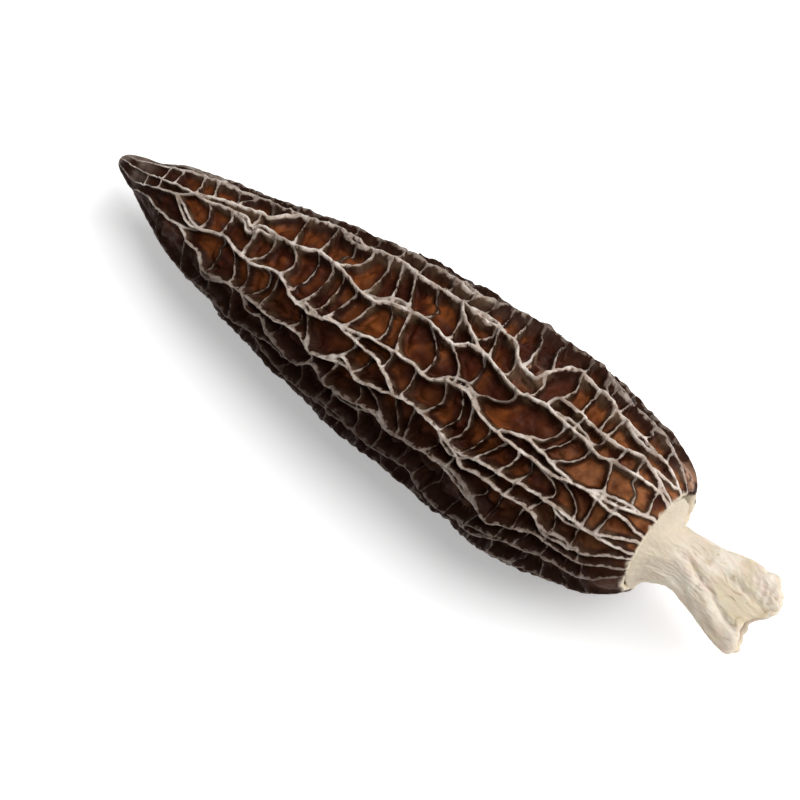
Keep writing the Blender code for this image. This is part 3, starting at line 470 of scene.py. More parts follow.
class Net:
    """The crests of the cap's net, as finely drawn lines on the skin."""

    def __init__(self, skin):
        self.skin = skin
        self.paths = {}
        self.crests = []

    def nearest_rib(self, run, turn):
        """The nearest place on the ribs drawn so far."""
        here = self.skin.points(run, turn)
        best = None
        for path_run, path_turn in self.paths.values():
            away = np.linalg.norm(self.skin.points(path_run, path_turn) - here, axis=1)
            number = int(np.argmin(away))
            if best is None or away[number] < best[0]:
                best = (away[number], path_run[number], path_turn[number])
        return best[1:]

    def gap(self, first, second, run):
        """How far it is over the skin from one rib to the next."""
        turn = np.interp(run, *self.paths[second]) - np.interp(run, *self.paths[first])
        return turn * self.skin.radius_at(run)

    def rib(self, name, begins, ends, places):
        """A rib through the places, drawn out to the cap's ends or to the ribs that it meets."""
        line = [(along, math.radians(degrees)) for along, degrees in places]
        along, turn = smooth_line(line, CURVE_STEPS, TURN_LENGTH).T
        run = self.skin.run_at(along)
        if begins == "tip":
            run, turn = np.concatenate([[TIP_RUN], run]), np.concatenate([turn[:1], turn])
        if ends == "base":
            run, turn = np.concatenate([run, [self.skin.end]]), np.concatenate([turn, turn[-1:]])
        onward = np.concatenate([[True], np.diff(np.maximum.accumulate(run)) > SAME_RUN])
        run, turn = run[onward], turn[onward]
        for met, end in ((begins, 0), (ends, -1)):
            if met == "rib":
                met_run, met_turn = self.nearest_rib(run[end], turn[end])
                run[end] = met_run
                turn[end] = met_turn + 2 * math.pi * round((turn[end] - met_turn) / (2 * math.pi))
        self.paths[name] = (run, turn)
        self.crests.append(Crest("rib", run, turn, np.ones(len(run)), np.ones(len(run))))

    def rung(self, kind, first, second, leaves, meets, bow, high, pale):
        """A cross ridge from one rib to the next. High and pale each give its start, middle and end."""
        run = self.skin.run_at(np.array([leaves, meets]))
        turn = [np.interp(r, *self.paths[name]) for r, name in zip(run, (first, second))]
        share = np.linspace(0, 1, RUNG_PLACES)
        bowed = run[0] + (run[1] - run[0]) * share + bow * np.sin(math.pi * share)
        bowed = np.clip(bowed, TIP_RUN, self.skin.end)
        turned = turn[0] + (turn[1] - turn[0]) * share
        high, pale = (np.interp(share, (0, 0.5, 1), values) for values in (high, pale))
        self.crests.append(Crest(kind, bowed, turned, high, pale))


def far_ribs(net, rng):
    """Ribs round the far side, evenly spaced from the last that shows to the first, with a wave in each."""
    along = np.arange(FAR_RIB_FIRST, RIM_ALONG, FAR_RIB_STEP)
    run = net.skin.run_at(along)
    last, beyond = net.paths["f"], net.paths["g"]
    low = np.where(run < beyond[0][0], np.interp(run, *last), np.interp(run, *beyond))
    high = np.interp(run, *net.paths["a"]) + 2 * math.pi
    gaps = []
    for start in (*FAR_RIB_STARTS, 0):
        gap = np.ones(len(along)) if start == 0 else smooth_step(start, start + FAR_RIB_PARTING, along)
        for wave_length, share in FAR_WAVES:
            gap = gap * (1 + share * np.sin(2 * math.pi * (along / wave_length + rng.random())))
        gaps.append(gap * rng.uniform(*FAR_GAP_VARIES))
    shares = np.cumsum(gaps, axis=0) / np.sum(gaps, axis=0)
    for number, start in enumerate(FAR_RIB_STARTS):
        turn = low + (high - low) * shares[number]
        there = along >= start
        places = list(zip(along[there], np.degrees(turn[there])))
        net.rib(f"far {number}", "rib" if start else "tip", "base", places)
        net.paths[f"far {number}"] = (run, turn)
    net.paths["far low"] = (run, low)
    net.paths["far high"] = (run, high)


def far_rungs(net, rng):
    """Cross ridges between the far ribs, at uneven steps: the pairs of ribs and where each ridge runs."""
    rungs = {}
    names = ["far low", *(f"far {number}" for number in range(len(FAR_RIB_STARTS))), "far high"]
    for first, second in zip(names, names[1:]):
        found = []
        along = rng.uniform(*FAR_RUNG_FIRST)
        while along < RIM_ALONG - FAR_RUNG_OFF_RIM:
            run = net.skin.run_at(along)
            gap = net.gap(first, second, run)
            scale = float(net.skin.scale(run))
            if gap > FAR_RUNG_LEAST_GAP * scale:
                slant = rng.gauss(0, FAR_RUNG_SLANT) * scale
                bow = rng.uniform(0, FAR_RUNG_MOST_BOW) * scale
                found.append((along - slant, along + slant, bow))
            along += FAR_RUNG_STEP * scale * rng.uniform(*FAR_RUNG_STEP_VARIES)
        rungs[first, second] = found
    return rungs


def thin_rungs(net, rungs, rng):
    """Thinner cross ridges, which part the cells that are longer than the rest."""
    skin = net.skin
    for first, second in dict.fromkeys([*NEIGHBOURS, *rungs]):
        found = rungs.get((first, second), ())
        for start, stop in NEIGHBOURS.get((first, second), THIN_EVERYWHERE):
            here = sorted(rung[:2] for rung in found if start < (rung[0] + rung[1]) / 2 < stop)
            ends = [(start, start), *here, (stop, stop)]
            for (leaves, meets), (next_leaves, next_meets) in zip(ends, ends[1:]):
                gap = (next_leaves - leaves + next_meets - meets) / 2
                scale = float(skin.scale(skin.run_at(leaves)))
                count = round(gap / (THIN_STEP * scale)) - 1
                if gap < THIN_STEP * THIN_LEAST_GAP * scale:
                    continue
                for number in range(1, count + 1):
                    share = (number + rng.uniform(-THIN_SHIFT, THIN_SHIFT)) / (count + 1)
                    high = rng.uniform(*THIN_HIGH)
                    pale = rng.uniform(*THIN_PALE)
                    slant = rng.gauss(0, THIN_SLANT) * scale
                    bow = rng.uniform(*THIN_BOW) * scale
                    thin_leaves = leaves + (next_leaves - leaves) * share
                    thin_meets = meets + (next_meets - meets) * share
                    if net.gap(first, second, skin.run_at(thin_leaves)) > THIN_LEAST_WIDTH * scale:
                        net.rung(
                            "thin", first, second, thin_leaves - slant, thin_meets + slant, bow,
                            (high * 0.8, high, high / 2 + THIN_END), (pale / 2, pale, pale / 2 + THIN_END),
                        )


def twins(net, rng):
    """Stretches where a rib stands double."""
    skin = net.skin
    for rib in [crest for crest in net.crests if crest.kind == "rib"]:
        at = rng.uniform(*TWIN_REST)
        while rib.run[0] + at < rib.run[-1]:
            length = rng.uniform(*TWIN_RUN)
            run = np.linspace(rib.run[0] + at, min(rib.run[0] + at + length, rib.run[-1]), TWIN_PLACES)
            apart = rng.choice((-1, 1)) * rng.uniform(*TWIN_APART) * skin.scale(run)
            apart *= np.sin(np.linspace(0, math.pi, TWIN_PLACES)) ** TWIN_BLUNTNESS
            turn = np.interp(run, rib.run, rib.turn) + apart / skin.radius_at(run)
            pale = np.full(TWIN_PLACES, rng.uniform(*TWIN_PALE))
            high = np.full(TWIN_PLACES, rng.uniform(*TWIN_HIGH))
            net.crests.append(Crest("rib", run, turn, high, pale))
            at += length + rng.uniform(*TWIN_REST)


def listed_rib(name):
    """Where a rib begins and ends, and its places, crowded in as they stand."""
    begins, ends, places = RIBS[name]
    return begins, ends, [(along, turn * read_table(CROWDING, along)) for along, turn in places]


def draw_net(skin):
    """The whole net: the listed ribs and those of the far side, then every cross ridge between them."""
    net = Net(skin)
    for name in RIBS:
        net.rib(name, *listed_rib(name))
    rng = random.Random(SEED)
    far_ribs(net, rng)
    rungs = {**RUNGS, **far_rungs(net, rng)}
    rng = random.Random(DETAIL_SEED)
    for (first, second), found in rungs.items():
        for leaves, meets, bow in found:
            low = rng.uniform(*RUNG_HIGH)
            dim = rng.uniform(*RUNG_PALE)
            high = (low, low / 2 + RUNG_MIDDLE_HIGH, RUNG_END_HIGH)
            net.rung("rung", first, second, leaves, meets, bow, high, (dim, dim, RUNG_END_PALE))
    thin_rungs(net, rungs, rng)
    twins(net, rng)
    return net


def waver(skin, run, turn):
    """The same line with a fine waver, alike for lines that pass the same place."""
    spots = skin.points(run, turn)
    room = skin.inside(run)
    radius = skin.radius_at(run)
    for size, far, down_shift, round_shift in WAVER:
        run = run + room * far * soft_noise(spots, size, down_shift)
        turn = turn + room * far * soft_noise(spots, size, round_shift) / radius
    return run, turn


def respaced(skin, crest, step):
    """A crest redrawn in even steps, and wavering: run, turn, high, pale."""
    spots = skin.points(crest.run, crest.turn)
    length = np.concatenate([[0], np.cumsum(np.linalg.norm(np.diff(spots, axis=0), axis=1))])
    scale = float(skin.scale(crest.run).mean())
    at = np.linspace(0, length[-1], max(2, round(length[-1] / (step * scale)) + 1))
    run, turn, high, pale = (np.interp(at, length, values) for values in crest[1:])
    return (*waver(skin, run, turn), high, pale)


class Sieve:
    """Places in space, none nearer to an earlier one than a given distance."""

    def __init__(self, cell):
        self.cell = cell
        self.cells = {}
        self.spots = []

    def key(self, spot):
        return tuple(math.floor(v / self.cell) for v in spot)

    def nearest(self, spot):
        """The number of the nearest place in the cells around, and how far off it is."""
        i, j, k = self.key(spot)
        best, away = -1, math.inf
        for di in (-1, 0, 1):
            for dj in (-1, 0, 1):
                for dk in (-1, 0, 1):
                    for number in self.cells.get((i + di, j + dj, k + dk), ()):
                        there = self.spots[number]
                        off = math.dist(spot, there)
                        if off < away:
                            best, away = number, off
        return best, away

    def add(self, spot):
        self.cells.setdefault(self.key(spot), []).append(len(self.spots))
        self.spots.append(spot)
        return len(self.spots) - 1


class CapGrid:
    """Every place of the cap's mesh: run, turn and the crests' edges."""

    def __init__(self, net):
        self.skin = net.skin
        self.run, self.turn = [], []
        self.edges = set()
        self.sieve = Sieve(SIEVE_CELL)
        for crest in net.crests:
            run, turn, *_ = respaced(self.skin, crest, CREST_STEP)
            self.lay(run, turn)
        step, fewest, least = END_RING
        for end_run in (TIP_RUN, self.skin.end):
            count = max(fewest, round(2 * math.pi * float(self.skin.radius_at(end_run)) / step))
            self.scatter(np.full(count, end_run), np.arange(count) * 2 * math.pi / count, least, 0)
        for away, step, least in ROWS:
            for crest in net.crests:
                run, turn, *_ = respaced(self.skin, crest, step)
                if len(run) < 3:
                    continue
                radius = self.skin.radius_at(run)
                way = np.stack([np.gradient(run), np.gradient(turn) * radius])
                way /= np.maximum(np.linalg.norm(way, axis=0), TINY)
                far = away * self.skin.scale(run)
                for side in (-1, 1):
                    self.scatter(run - way[1] * far * side, turn + way[0] * far * side / radius, least)
        self.fill_floors()

    def add(self, run, turn, spot):
        self.run.append(float(run))
        self.turn.append(float(turn))
        return self.sieve.add(spot)

    def lay(self, run, turn):
        """Lays a crest, whose places join those that are very near."""
        chain = []
        for r, t, spot in zip(run, turn, self.skin.points(run, turn).tolist()):
            number, away = self.sieve.nearest(spot)
            if away > WELD * float(self.skin.scale(r)):
                number = self.add(r, t, spot)
            if not chain or chain[-1] != number:
                chain.append(number)
        self.edges.update(zip(chain, chain[1:]))

    def scatter(self, run, turn, least, margin=END_MARGIN):
        """Adds those places that have room."""
        spots = self.skin.points(run, turn).tolist()
        room = self.skin.scale(run) * least
        low, high = TIP_RUN + margin, self.skin.end - margin
        for r, t, spot, need in zip(run, turn, spots, room):
            if low <= r <= high and self.sieve.nearest(spot)[1] >= need:
                self.add(r, t, spot)

    def fill_floors(self):
        """Rows of places, a little uneven, wherever the crests leave room."""
        rng = random.Random(SEED)
        run = TIP_RUN + FLOOR_FROM_TIP
        while run < self.skin.end:
            radius = float(self.skin.radius_at(run))
            step = FLOOR_STEP * float(self.skin.scale(run))
            count = max(FLOOR_LEAST_COUNT, round(2 * math.pi * radius / step))
            turns = (np.arange(count) + rng.random()) * 2 * math.pi / count
            off = [rng.uniform(-FLOOR_ROW_VARIES, FLOOR_ROW_VARIES) for _ in range(count)]
            self.scatter(run + np.array(off) * step, turns, FLOOR_STEP * FLOOR_SPACING)
            run += step * FLOOR_ROW_STEP


class Relief:
    """How high the surface stands between the pits' floors and the skin, and how pale it is."""

    def __init__(self, net):
        self.skin = net.skin
        self.trees = {}
        for kind in WALLS:
            parts = [respaced(self.skin, crest, SAMPLE_STEP) for crest in net.crests if crest.kind == kind]
            run, turn, high, pale = (np.concatenate(values) for values in zip(*parts))
            tree = KDTree(len(run))
            for number, spot in enumerate(self.skin.points(run, turn).tolist()):
                tree.insert(spot, number)
            tree.balance()
            self.trees[kind] = (tree, high, pale)

    def read(self, run, turn, bead, wall, power):
        """At each place: the height share, how far outside the nearest pale band it is, how far down that
        band's wall, the band's paleness, and how far off the nearest strong crest is."""
        spots = self.skin.points(run, turn).tolist()
        scale = self.skin.scale(run)
        joined, dropped, paleness = np.zeros((3, len(run)))
        outside, strong = np.full((2, len(run)), math.inf)
        for kind, (tree, high, pale) in self.trees.items():
            found = [tree.find(spot) for spot in spots]
            number = [index for _, index, _ in found]
            away = np.array([distance for *_, distance in found]) / scale
            wall_share, band = WALLS[kind]
            if kind == "rib":
                web = 1 + WEB[0] * np.exp(-((away / WEB[1]) ** 2))
            else:
                band = band * web
            standing = (1 - np.clip((away - bead * band) / (wall * wall_share), 0, 1)) ** power
            joined += (high[number] * standing) ** JOIN_POWER
            past_band = away - band * PALE_HALF_WIDTH / np.sqrt(scale)
            nearer = past_band < outside
            outside = np.where(nearer, past_band, outside)
            dropped = np.where(nearer, 1 - standing, dropped)
            paleness = np.where(nearer, pale[number], paleness)
            if kind in ("rib", "rung"):
                strong = np.minimum(strong, away)
        return np.minimum(joined ** (1 / JOIN_POWER), 1), outside, dropped, paleness, strong


def cut_and_join(skin, grid):
    """Triangles over the whole skin, from a flat map of it that is cut open along the first rib."""
    run, turn = np.array(grid.run), np.array(grid.turn)
    map_at = skin.read(skin.map_length, run)
    first = Net(skin)
    first.rib("a", *listed_rib("a"))
    line_run, line_turn, *_ = respaced(skin, first.crests[0], CREST_STEP)
    numbers = [grid.sieve.nearest(spot)[0] for spot in skin.points(line_run, line_turn).tolist()]
    on_cut = np.array(sorted(set(numbers), key=lambda number: run[number]))
    cut = np.interp(map_at, map_at[on_cut], turn[on_cut])
    turn = cut + np.mod(turn - cut + ON_CUT, 2 * math.pi) - ON_CUT
    turn[on_cut] = cut[on_cut]

    copies = {int(number): len(run) + k for k, number in enumerate(on_cut)}
    flat_turn = np.concatenate([turn, turn[on_cut] + 2 * math.pi])
    flat_map = np.concatenate([map_at, map_at[on_cut]])
    flat_run = np.concatenate([run, run[on_cut]])
    edges = set()
    for pair in grid.edges:
        near, far = pair
        if near in copies and far in copies:
            edges.add((copies[near], copies[far]))
        elif near in copies and turn[far] - turn[near] > math.pi:
            near = copies[near]
        elif far in copies and turn[near] - turn[far] > math.pi:
            far = copies[far]
        if abs(flat_turn[near] - flat_turn[far]) < math.pi / 2:
            edges.add((near, far))
    for end_run in (TIP_RUN, skin.end):
        ring = np.flatnonzero(np.abs(flat_run - end_run) < SAME_RUN)
        ring = ring[np.argsort(flat_turn[ring])].tolist()
        edges.update(zip(ring, ring[1:]))

    flat = list(zip(flat_turn.tolist(), flat_map.tolist()))
    made, _, triangles, sources, *_ = delaunay_2d_cdt(flat, sorted(edges), [], 0, SAME_RUN)
    made_turn, made_map = np.array([tuple(place) for place in made]).T
    original = {copy: number for number, copy in copies.items()}
    number = np.full(len(made), -1)
    for index, source in enumerate(sources):
        if source:
            number[index] = original.get(source[0], source[0])
    crossings = np.flatnonzero(number < 0)
    number[crossings] = len(run) + np.arange(len(crossings))
    run = np.append(run, np.interp(made_map[crossings], skin.map_length, skin.run))
    turn = np.append(turn, made_turn[crossings])

    triangles = np.array(triangles)
    middle_turn = made_turn[triangles].mean(axis=1)
    middle_cut = np.interp(made_map[triangles].mean(axis=1), map_at[on_cut], turn[on_cut])
    faces = number[triangles]
    whole = (faces[:, 0] != faces[:, 1]) & (faces[:, 1] != faces[:, 2]) & (faces[:, 0] != faces[:, 2])
    faces = faces[whole & (middle_turn > middle_cut) & (middle_turn < middle_cut + 2 * math.pi)]
    return run, turn, faces.tolist()


def fan(points, faces, ring, centre, turned):
    """Adds the centre to the points, and faces between it and a ring, turned the other way if wanted."""
    points = np.vstack([points, centre])
    for first, second in zip(ring, ring[1:] + ring[:1]):
        pair = (second, first) if turned else (first, second)
        faces.append([*pair, len(points) - 1])
    return points


def close_ends(points, faces, run, turn, skin):
    """A fan over the blunt tip and one over the socket that the stem stands in."""
    for end_run, centre_along in ((TIP_RUN, PROFILE[0][0]), (skin.end, PROFILE[-1][0])):
        ring = np.flatnonzero(np.abs(run - end_run) < SAME_RUN)
        ring = ring[np.argsort(turn[ring])].tolist()
        centre = lie_down(centre_along, read_table(BEND, centre_along), 0.0)
        points = fan(points, faces, ring, centre, end_run == TIP_RUN)
    return points, faces


def outward(points, faces):
    """The faces, turned so that the solid they enclose is positive."""
    faces = np.array(faces)
    corners = points[faces]
    if np.linalg.det(corners - points.mean(axis=0)).sum() < 0:
        return faces[:, ::-1]
    return faces


def mesh_object(name, points, faces, marks):
    """A smooth mesh object. Marks are named values, one for each point, that its material reads."""
    mesh = bpy.data.meshes.new(name)
    mesh.from_pydata((points * MM).tolist(), [], outward(points, faces).tolist())
    for mark, values in marks.items():
        attribute = mesh.attributes.new(mark, "FLOAT", "POINT")
        attribute.data.foreach_set("value", np.asarray(values, np.float32))
    mesh.shade_smooth()
    mesh.validate()
    obj = bpy.data.objects.new(name, mesh)
    bpy.context.scene.collection.objects.link(obj)
    return obj


class Look:
    """A procedural material, put together node by node round one shader."""

    def __init__(self, name, roughness):
        self.made = bpy.data.materials.new(name)
        self.made.use_nodes = True
        self.tree = self.made.node_tree
        self.shader = self.tree.nodes["Principled BSDF"]
        self.shader.inputs["Roughness"].default_value = roughness
        self.place = self.add("ShaderNodeTexCoord").outputs["Object"]

    def add(self, kind, **settings):
        node = self.tree.nodes.new(kind)
        for name, value in settings.items():
            setattr(node, name, value)
        return node

    def feed(self, socket, value):
        """Links an output to the socket, or sets the socket's own value."""
        if isinstance(value, bpy.types.NodeSocket):
            self.tree.links.new(value, socket)
        else:
            socket.default_value = value

    def mark(self, name):
        return self.add("ShaderNodeAttribute", attribute_name=name).outputs["Fac"]

    def noise(self, size, detail=3.0, stretch=None):
        """Noise whose patches are about the given size in metres, stretched along the axes if wanted."""
        place = self.place
        if stretch:
            mapping = self.add("ShaderNodeMapping")
            self.feed(mapping.inputs["Vector"], place)
            mapping.inputs["Scale"].default_value = stretch
            place = mapping.outputs["Vector"]
        node = self.add("ShaderNodeTexNoise")
        self.feed(node.inputs["Vector"], place)
        node.inputs["Scale"].default_value = 1 / size
        node.inputs["Detail"].default_value = detail
        return node.outputs["Fac"]

    def billow(self, size, stretch):
        """Rounded lobes of about the given size in metres, parted by folds where it is nothing."""
        return self.math("ABSOLUTE", self.math("SUBTRACT", self.noise(size, 0.6, stretch), 0.5), 0)

    def range(self, value, low, high, to_low=0.0, to_high=1.0):
        node = self.add("ShaderNodeMapRange", interpolation_type="SMOOTHSTEP")
        self.feed(node.inputs["Value"], value)
        for name, number in zip(("From Min", "From Max", "To Min", "To Max"), (low, high, to_low, to_high)):
            node.inputs[name].default_value = number
        return node.outputs["Result"]

    def math(self, operation, first, second):
        node = self.add("ShaderNodeMath", operation=operation)
        self.feed(node.inputs[0], first)
        self.feed(node.inputs[1], second)
        return node.outputs[0]

    def both(self, first, second):
        """One share of another."""
        return self.math("MULTIPLY", first, second)

    def mix(self, share, first, second):
        node = self.add("ShaderNodeMix", data_type="RGBA")
        self.feed(node.inputs["Factor"], share)
        self.feed(node.inputs[6], first)
        self.feed(node.inputs[7], second)
        return node.outputs[2]

    def bump(self, height, distance, strength, under=None):
        node = self.add("ShaderNodeBump")
        self.feed(node.inputs["Height"], height)
        node.inputs["Distance"].default_value = distance
        node.inputs["Strength"].default_value = strength
        if under is not None:
            self.feed(node.inputs["Normal"], under)
        return node.outputs["Normal"]

    def finish(self, colour, normal, roughness=None):
        self.feed(self.shader.inputs["Base Color"], colour)
        self.feed(self.shader.inputs["Normal"], normal)
        if roughness is not None:
            self.feed(self.shader.inputs["Roughness"], roughness)
        return self.made


# In both looks the sizes of noise and the depths of bumps are in metres. The two numbers after a noise or a
# mark in a range are where it fades in, and two more are what it fades between.


def netted_cap_look(cap):
    """Pale crests with a painted highlight along their tops, near-black walls deepened with painted shade,
    and chestnut floors, leathery and a little glossy.
    """
    look = Look("dried cap", cap.roughness)
    look.shader.inputs["Specular IOR Level"].default_value = cap.gloss
    names = ("outside", "dropped", "paleness", "depth", "shade", "tan", "tissue", "worn", "knob_blotch_and_highlight")
    outside, dropped, paleness, depth, shade, tan, tissue, worn, knob_blotch_and_highlight = (look.mark(name) for name in names)
    grain = look.noise(0.0007, 4.0)
    patches = look.noise(0.0021, 3.0)
    lobes = look.billow(0.003, (1.6, 0.8, 0.8))
    floor = look.mix(look.range(look.noise(0.0045, 2.0), 0.4, 0.6), cap.floor_dark, cap.floor_warm)
    floor = look.mix(look.both(tan, look.range(patches, 0.35, 0.6)), floor, cap.floor_tan)
    floor = look.mix(look.range(grain, 0.4, 0.8, 0.0, 0.3), floor, cap.wall_and_shade_colour)
    # Painted shade in the folds between the floor's lobes
    floor = look.mix(look.range(lobes, 0.12, 0.0, 0.0, 0.35), floor, cap.wall_and_shade_colour)
    # Dark towards the crests: the walls' own dark brown, deepened with painted shade down in the pits
    inner = look.mix(look.range(outside, 0.06, 0.42), cap.wall_and_shade_colour, floor)
    haze = look.both(look.range(outside, 0.3, 0.0), look.range(patches, 0.42, 0.7))
    inner = look.mix(look.both(haze, paleness), inner, cap.haze_colour)
    # Darker pits towards the tip, and painted shade in the pits on the flanks turned from the light
    inner = look.mix(look.both(shade, 0.95), inner, cap.wall_and_shade_colour)
    inner = look.mix(look.both(worn, look.range(patches, 0.35, 0.65)), inner, cap.worn_colour)
    blotch = look.range(look.noise(0.0013, 3.0), 0.42, 0.6)
    inner = look.mix(look.both(knob_blotch_and_highlight, blotch), inner, cap.scar_colour)

    ragged = look.range(look.noise(0.0008, 5.0), 0.3, 0.7, -0.06, 0.08)
    edge = look.math("ADD", outside, ragged)
    dull = look.range(look.noise(0.0011, 4.0), 0.42, 0.72)
    dull = look.math("MAXIMUM", dull, look.range(edge, -0.1, 0.0, 0.0, 0.8))
    crest = look.mix(dull, cap.crest_colour, cap.crest_dull)
    # Painted highlight: the brightest colour along the crests' tops, and over the band on the raised knob
    core = look.both(look.range(edge, -0.06, -0.15), look.range(look.noise(0.0019, 3.0), 0.4, 0.6))
    crest = look.mix(look.math("MAXIMUM", core, look.range(knob_blotch_and_highlight, 0.5, 0.85)), crest, cap.crest_highlight)
    crest = look.mix(look.both(worn, look.range(patches, 0.4, 0.6, 0.0, 0.5)), crest, cap.worn_colour)
    band = look.range(edge, 0.03, -0.03)
    band = look.both(band, look.range(dropped, PALE_DROP[1], PALE_DROP[0]))
    dimmed = look.both(paleness, look.range(look.noise(0.0025, 3.0), 0.25, 0.5, 0.6, 1.0))
    colour = look.mix(look.both(band, dimmed), inner, crest)
    colour = look.mix(tissue, colour, cap.rim_colour)
    normal = look.bump(look.noise(0.00035, 5.0), 0.0001, 0.4)
    normal = look.bump(look.both(lobes, depth), 0.0012, 0.6, normal)
    roughness = look.range(grain, 0.3, 0.7, cap.roughness - 0.12, cap.roughness + 0.12)
    return look.finish(colour, normal, roughness)


def wrinkled_stem_look(stem):
    """Cream tissue, yellower in the trough and browner near the cap, with fine fibres."""
    look = Look("dried stem", stem.roughness)
    look.shader.inputs["Specular IOR Level"].default_value = stem.gloss
    look.shader.inputs["Subsurface Weight"].default_value = stem.glow
    look.shader.inputs["Subsurface Radius"].default_value = (0.001, 0.0006, 0.0003)
    look.shader.inputs["Subsurface Scale"].default_value = 1.0
    low, trough, collar, inside = (look.mark(name) for name in ("low", "trough", "collar", "inside"))
    colour = look.mix(look.range(look.noise(0.003, 3.0), 0.35, 0.65), stem.light_colour, stem.main_colour)
    colour = look.mix(look.both(trough, stem.trough_share), colour, stem.trough_colour)
    colour = look.mix(look.range(low, 0.25, 1.0, 0.0, 0.75), colour, stem.crease_colour)
    blush = look.range(look.noise(0.0022, 2.0, (1, 2, 2)), 0.5, 0.65, 0.0, 0.55)
    colour = look.mix(blush, colour, stem.blush_colour)
    tinge = look.range(look.noise(0.0017, 3.0, (0.6, 1, 1)), 0.54, 0.68, 0.0, 0.5)
    colour = look.mix(tinge, colour, stem.trough_colour)
    veins = look.range(look.billow(0.0014, (0.3, 1, 1)), 0.035, 0.0)
    veins = look.both(veins, look.range(look.noise(0.0019, 2.0), 0.45, 0.62, 0.0, 0.55))
    colour = look.mix(veins, colour, stem.crease_colour)
    specks = look.range(look.noise(0.0009, 2.0), 0.68, 0.76, 0.0, 0.5)
    colour = look.mix(specks, colour, stem.crease_colour)
    colour = look.mix(collar, colour, stem.collar_colour)
    colour = look.mix(inside, colour, stem.inside_colour)
    normal = look.bump(look.noise(0.0005, 4.0, (0.3, 1, 1)), 0.0002, 0.6)
    normal = look.bump(look.math("SUBTRACT", 1.0, veins), 0.00015, 0.5, normal)
    return look.finish(colour, normal)


def colour_property(name, description, default):
    return bpy.props.FloatVectorProperty(
        name=name, description=description, subtype="COLOR", size=4, min=0, max=1, default=(*default, 1)
    )


def share_property(name, description, default, top=1.0):
    return bpy.props.FloatProperty(
        name=name, description=description, default=default, min=0, max=top, subtype="FACTOR"
    )


def length_property(name, description, default, least=0):
    """A length that is given in millimetres and kept in metres."""
    return bpy.props.FloatProperty(
        name=name, description=description, default=default * MM, min=least, unit="LENGTH", precision=5
    )


def angle_property(name, description, degrees):
    return bpy.props.FloatProperty(
        name=name, description=description, default=math.radians(degrees), subtype="ANGLE", unit="ROTATION"
    )


class MorelCapSettings(bpy.types.PropertyGroup):
    crest_half_width: length_property("Crest Half Width", "Half the width of the bead on top of a rib", 0.15)
    wall_width: length_property("Wall Width", "How far a pit's wall reaches from its crest", 0.8)
    wall_power: bpy.props.FloatProperty(
        name="Wall Steepness", description="How steeply a wall falls away under its crest",
        default=2.9, min=1, max=5,
    )
    floor_rise: share_property("Floor Rise", "Share of the depth by which a floor's middle stands up", 0.3)
    roughness_height: length_property("Uneven Floors", "How uneven the floors and walls are", 0.13)
    jag: share_property("Jagged Crests", "Share of the depth by which the crests are jagged", 0.1)
    # Pale crest colour brightened into a painted highlight along the tops of the ribs
    crest_highlight: colour_property("Crest Core", "Brightest line along a rib", (0.74, 0.66, 0.59))
    crest_colour: colour_property("Crest", "Pale edge of the net", (0.54, 0.45, 0.38))
    crest_dull: colour_property("Dull Crest", "Duller stretches of the net's edge", (0.3, 0.22, 0.175))
    haze_colour: colour_property("Upper Wall", "Tan tinge just below the crests", (0.13, 0.078, 0.045))
    # The walls' own dark brown, also used as painted shade in the pits' recesses and folds
    wall_and_shade_colour: colour_property("Wall", "Steep walls of the pits", (0.021, 0.006, 0.0024))
    floor_dark: colour_property("Dark Floor", "Darker floors of the pits", (0.06, 0.012, 0.0042))
    floor_warm: colour_property("Warm Floor", "Warmer floors of the pits", (0.185, 0.049, 0.0105))
    floor_tan: colour_property("Tan Floor", "Floors of the pits near the base", (0.27, 0.098, 0.034))
    worn_colour: colour_property("Worn Tip", "Grey-tan skin of the worn tip", (0.19, 0.14, 0.115))
    scar_colour: colour_property("Knob", "Pale blotches on the raised knob", (0.5, 0.29, 0.19))
    rim_colour: colour_property("Base", "Cream tissue where the cap meets the stem", (0.72, 0.63, 0.49))
    roughness: share_property("Roughness", "Roughness of the cap", 0.58)
    gloss: share_property("Gloss", "Specular level of the cap", 0.09)


class MorelStemSettings(bpy.types.PropertyGroup):
    main_colour: colour_property("Cream", "Most of the stem", (0.62, 0.54, 0.425))
    light_colour: colour_property("Light Cream", "Paler patches", (0.73, 0.66, 0.56))
    crease_colour: colour_property("Creases", "Bottoms of the creases", (0.44, 0.315, 0.185))
    trough_colour: colour_property("Trough", "Smooth trough in the flare", (0.64, 0.54, 0.35))
    trough_share: share_property("Trough Tint", "How strongly the trough is tinted", 0.6)
    blush_colour: colour_property("Blush", "Faint pinkish patches", (0.7, 0.55, 0.46))
    collar_colour: colour_property("Collar", "Tissue under the cap", (0.59, 0.51, 0.4))
    inside_colour: colour_property("Inside", "Lining of the hollow at the cut end", (0.5, 0.33, 0.14))
    roughness: share_property("Roughness", "Roughness of the stem", 0.8)
    gloss: share_property("Gloss", "Specular level of the stem", 0.25)
    glow: share_property("Translucency", "How far light spreads inside the stem", 0.25)


